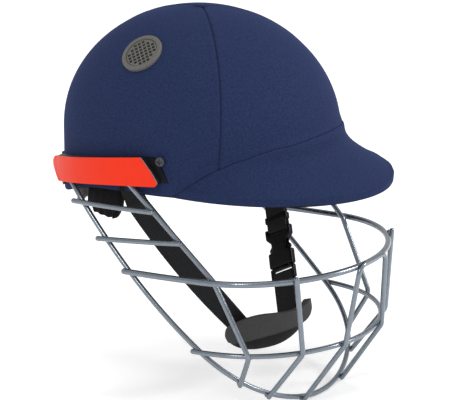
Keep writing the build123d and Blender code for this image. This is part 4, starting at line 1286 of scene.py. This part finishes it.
def cup_grid(inset, wall, piece_name, material, node_name):
    """One layer of the cup as a closed skin, at a depth inside its outer face."""
    points, sole, thin = [], [], []
    rows = cup_wall_rows + cup_rows
    for c in range(cup_columns + 1):
        across = 2 * c / cup_columns - 1
        tip = cup_reach(0.0) * across
        rise = 1 - abs(across) ** cup_rise_round
        top = cup_rise * rise**cup_rise_full * (1 - cup_pull * across) - cup_dip * hump(across, cup_dip_width)
        fold = cup_fold_drop + cup_fold_fall * across**2
        ends = clamped((1 - abs(across)) / cup_fold_ends)
        far = clamped((across - cup_droop_start) / (1 - cup_droop_start)) ** cup_droop_round
        near_tip = clamped((abs(across) - cup_tip_start) / (1 - cup_tip_start))
        for r in range(rows):
            if r < cup_wall_rows:
                drop, angle = -(top - inset / 2) * (1 - r / cup_wall_rows), tip
                shrink = 1 + cup_flare * drop
            else:
                turn = pi / 2 * (r - cup_wall_rows) / (cup_rows - 1)
                drop = cup_half_height * sin(turn)
                angle = cup_reach(drop) * across
                shrink = cos(turn)
            shrink *= 1 - cup_pinch * sin(2 * angle) ** 2
            below = clamped((drop - fold) / cup_fold_soft)
            depth = clamped(drop / cup_half_height)
            stand = cup_fold_step * (1 - below) * ends - cup_sole_inset - inset
            wide, deep = (cup_half_width + stand) * shrink, (cup_half_depth + stand) * shrink
            place = Vector((wide * sin(angle), -deep * cos(angle), -drop))
            place.z += inset * sin(depth * pi / 2)
            place.z -= cup_droop * (1 - depth) * far
            points.append(cup_centre + place)
            sole.append(below)
            thin.append(cup_tip_thin * near_tip * (1 - depth))
    mesh = mesh_of(piece_name, points, faces=grid_faces(cup_columns + 1, rows))
    # the sole attribute masks the painted shade on the sole below the fold, which the foam's material reads
    for label, values in (("sole", sole), ("thin", thin)):
        mesh.attributes.new(label, "FLOAT", "POINT").data.foreach_set("value", values)
    faced(mesh, Vector((0, -1, 0)), cup_merge)
    piece = settle(piece_name, mesh, material, no_crease, node_name)
    thick = thickened(piece, wall)
    wall_share = piece.vertex_groups.new(name="wall share")
    for k, value in enumerate(mesh.attributes["thin"].data):
        wall_share.add([k], 1 - value.value, "REPLACE")
    thick.vertex_group = wall_share.name
    rounding = piece.modifiers.new("pressed edges", "BEVEL")
    rounding.width = min(wall / 3, cup_edge_round)
    rounding.segments = cup_edge_steps
    rounding.angle_limit = cup_edge_turn
    print(piece_name, "points:", len(mesh.vertices))
    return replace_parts(piece, node_name)


cup_grid(0.0, cup_wall, "chin_cup_dressed", cup_foam, "chin_cup")
cup_grid(cup_wall, cup_lining, "chin_cup_lining_dressed", lining_cloth, "chin_cup_lining")

# %% [markdown]
# Comfort pads are foam under thin cloth. A pad swells between its edges, which a cloth simulation with air
# inside gives: each pad starts as a slightly smaller, evenly meshed copy of its CAD form and is blown up to
# fill it. A cap on how far a point may move keeps the pad clear of the liner. The lobes behind the strap are
# gathered at their lower edge, where their cloth is drawn together.

# %% Pads by cloth simulation
pads = ["crown_pad", "brow_pad", "side_pad_right", "side_pad_left"]
pads += ["nape_pad", "ear_pad_right", "ear_pad_left"]
pad_voxel = 4.0 * mm
pad_shrink = 1.4 * mm
pad_cap = 1.8 * mm
pad_pressure = 4.0
pad_steps = 20
gather_pitch = 7.5 * mm
gather_depth = 1.4 * mm
gather_slant = 0.25
gather_fade = 1.5  # the power by which the gathers fade towards the lobe's top
lobe_hang = 6.0 * mm
lobe_reach = 6.5 * mm
nape_hang = 6.5 * mm


def blown_up(mesh):
    """Moves a mesh's points by a cloth simulation with air inside."""
    holder = placed("air_base", mesh)
    air = holder.modifiers.new("air", "CLOTH")
    air.settings.use_pressure = True
    air.settings.uniform_pressure_force = pad_pressure
    air.settings.effector_weights.gravity = 0
    for step in range(1, pad_steps + 1):
        scene.frame_set(step)
    swollen = holder.evaluated_get(bpy.context.evaluated_depsgraph_get()).to_mesh()
    moves = [after.co - before.co for after, before in zip(swollen.vertices, mesh.vertices)]
    for vertex, move in zip(mesh.vertices, moves):
        vertex.co += move * min(1.0, pad_cap / max(move.length, 1e-9))
    bpy.data.objects.remove(holder)
    scene.frame_set(1)


for pad in pads:
    name = f"{pad}_dressed"
    mesh = remeshed(name, joined(pad, name), pad_voxel)
    swell(mesh, -pad_shrink)
    blown_up(mesh)
    top = max(v.co.z for v in mesh.vertices)
    low = min(v.co.z for v in mesh.vertices)
    if pad == "nape_pad":
        for vertex in mesh.vertices:
            vertex.co.z -= nape_hang * (top - vertex.co.z) / (top - low)
    if pad.startswith("ear"):
        back = max(v.co.y for v in mesh.vertices)
        front = min(v.co.y for v in mesh.vertices)
        for vertex, normal in zip(mesh.vertices, [v.normal.copy() for v in mesh.vertices]):
            down = (top - vertex.co.z) / (top - low)
            wave = sin(2 * pi * (vertex.co.y + gather_slant * vertex.co.z) / gather_pitch)
            vertex.co += normal * gather_depth * wave * down**gather_fade
            vertex.co.z -= lobe_hang * down * down
            vertex.co.y -= lobe_reach * (back - vertex.co.y) / (back - front)
    piece = settle(name, mesh, nape_cloth if pad == "nape_pad" else pad_cloth, no_crease, pad)
    finer = piece.modifiers.new("finer", "SUBSURF")
    finer.levels = finer.render_levels = 1
    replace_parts(piece, pad)
    print(pad, "faces:", len(mesh.polygons))

# %% [markdown]
# A plain pale floor carries the helmet. It glows a little for the camera, as a lit paper sweep does, so it
# comes out white and only the helmet's soft shadow stays.

# %% Floor
floor_size = 8.0
floor_gap = 0.3 * mm
floor_glow = 0.34
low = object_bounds()[0].z - floor_gap
corner = floor_size / 2
corners = [(corner * x, corner * y, low) for x, y in ((-1, -1), (1, -1), (1, 1), (-1, 1))]
floor = placed("floor", mesh_of("floor", corners, faces=[(0, 1, 2, 3)]))
paper, paper_shader = finish_of("white studio paper", "#F8F8F8", 0.95, Specular_IOR_Level=0.0)
paper_rays = put(paper.node_tree, "ShaderNodeLightPath")
glow = put(
    paper.node_tree,
    "ShaderNodeMath",
    {"operation": "MULTIPLY"},
    {0: paper_rays.outputs["Is Camera Ray"], 1: floor_glow},
)
paper.node_tree.links.new(glow.outputs[0], paper_shader.inputs["Emission Strength"])
paper_shader.inputs["Emission Color"].default_value = linear("#FFFFFF")
floor.data.materials.append(paper)
print("floor at, mm:", round(low / mm, 1))

# %% [markdown]
# The world is white behind the helmet, and dimmer in its light and in reflections, so that the wires and
# plastics keep their darks. Three large soft lamps shape the helmet.

# %% World and lamps
world_light = 0.72
world_mirrored = 0.5
world = bpy.data.worlds.new("studio")
scene.world = world
world.use_nodes = True
sky = world.node_tree
sky_light = sky.nodes["Background"]
rays = put(sky, "ShaderNodeLightPath")
seen = put(
    sky,
    "ShaderNodeMath",
    {"operation": "MAXIMUM"},
    {0: rays.outputs["Is Camera Ray"], 1: rays.outputs["Is Transmission Ray"]},
)
even = put(
    sky,
    "ShaderNodeMapRange",
    inputs={"Value": rays.outputs["Is Glossy Ray"], "To Min": world_light, "To Max": world_mirrored},
)
level = put(
    sky,
    "ShaderNodeMapRange",
    inputs={"Value": seen.outputs[0], "To Min": even.outputs["Result"], "To Max": 1.0},
)
sky.links.new(level.outputs["Result"], sky_light.inputs["Strength"])
sky_light.inputs["Color"].default_value = linear("#FFFFFF")


def lamp(name, place, size, power):
    """A large soft lamp that faces the helmet."""
    light = bpy.data.lights.new(name, "AREA")
    light.size = size
    light.energy = power
    holder = placed(name, light)
    holder.location = place
    holder.rotation_mode = "QUATERNION"
    holder.rotation_quaternion = Vector(place).to_track_quat("Z", "Y")


lamp("front lamp", (1.1, -1.9, 1.0), size=0.5, power=20)
lamp("side lamp", (-2.0, -0.4, 1.5), size=0.5, power=9)
lamp("top lamp", (0.2, 0.2, 2.2), size=1.4, power=8)
print("lamps:", len(bpy.data.lights))
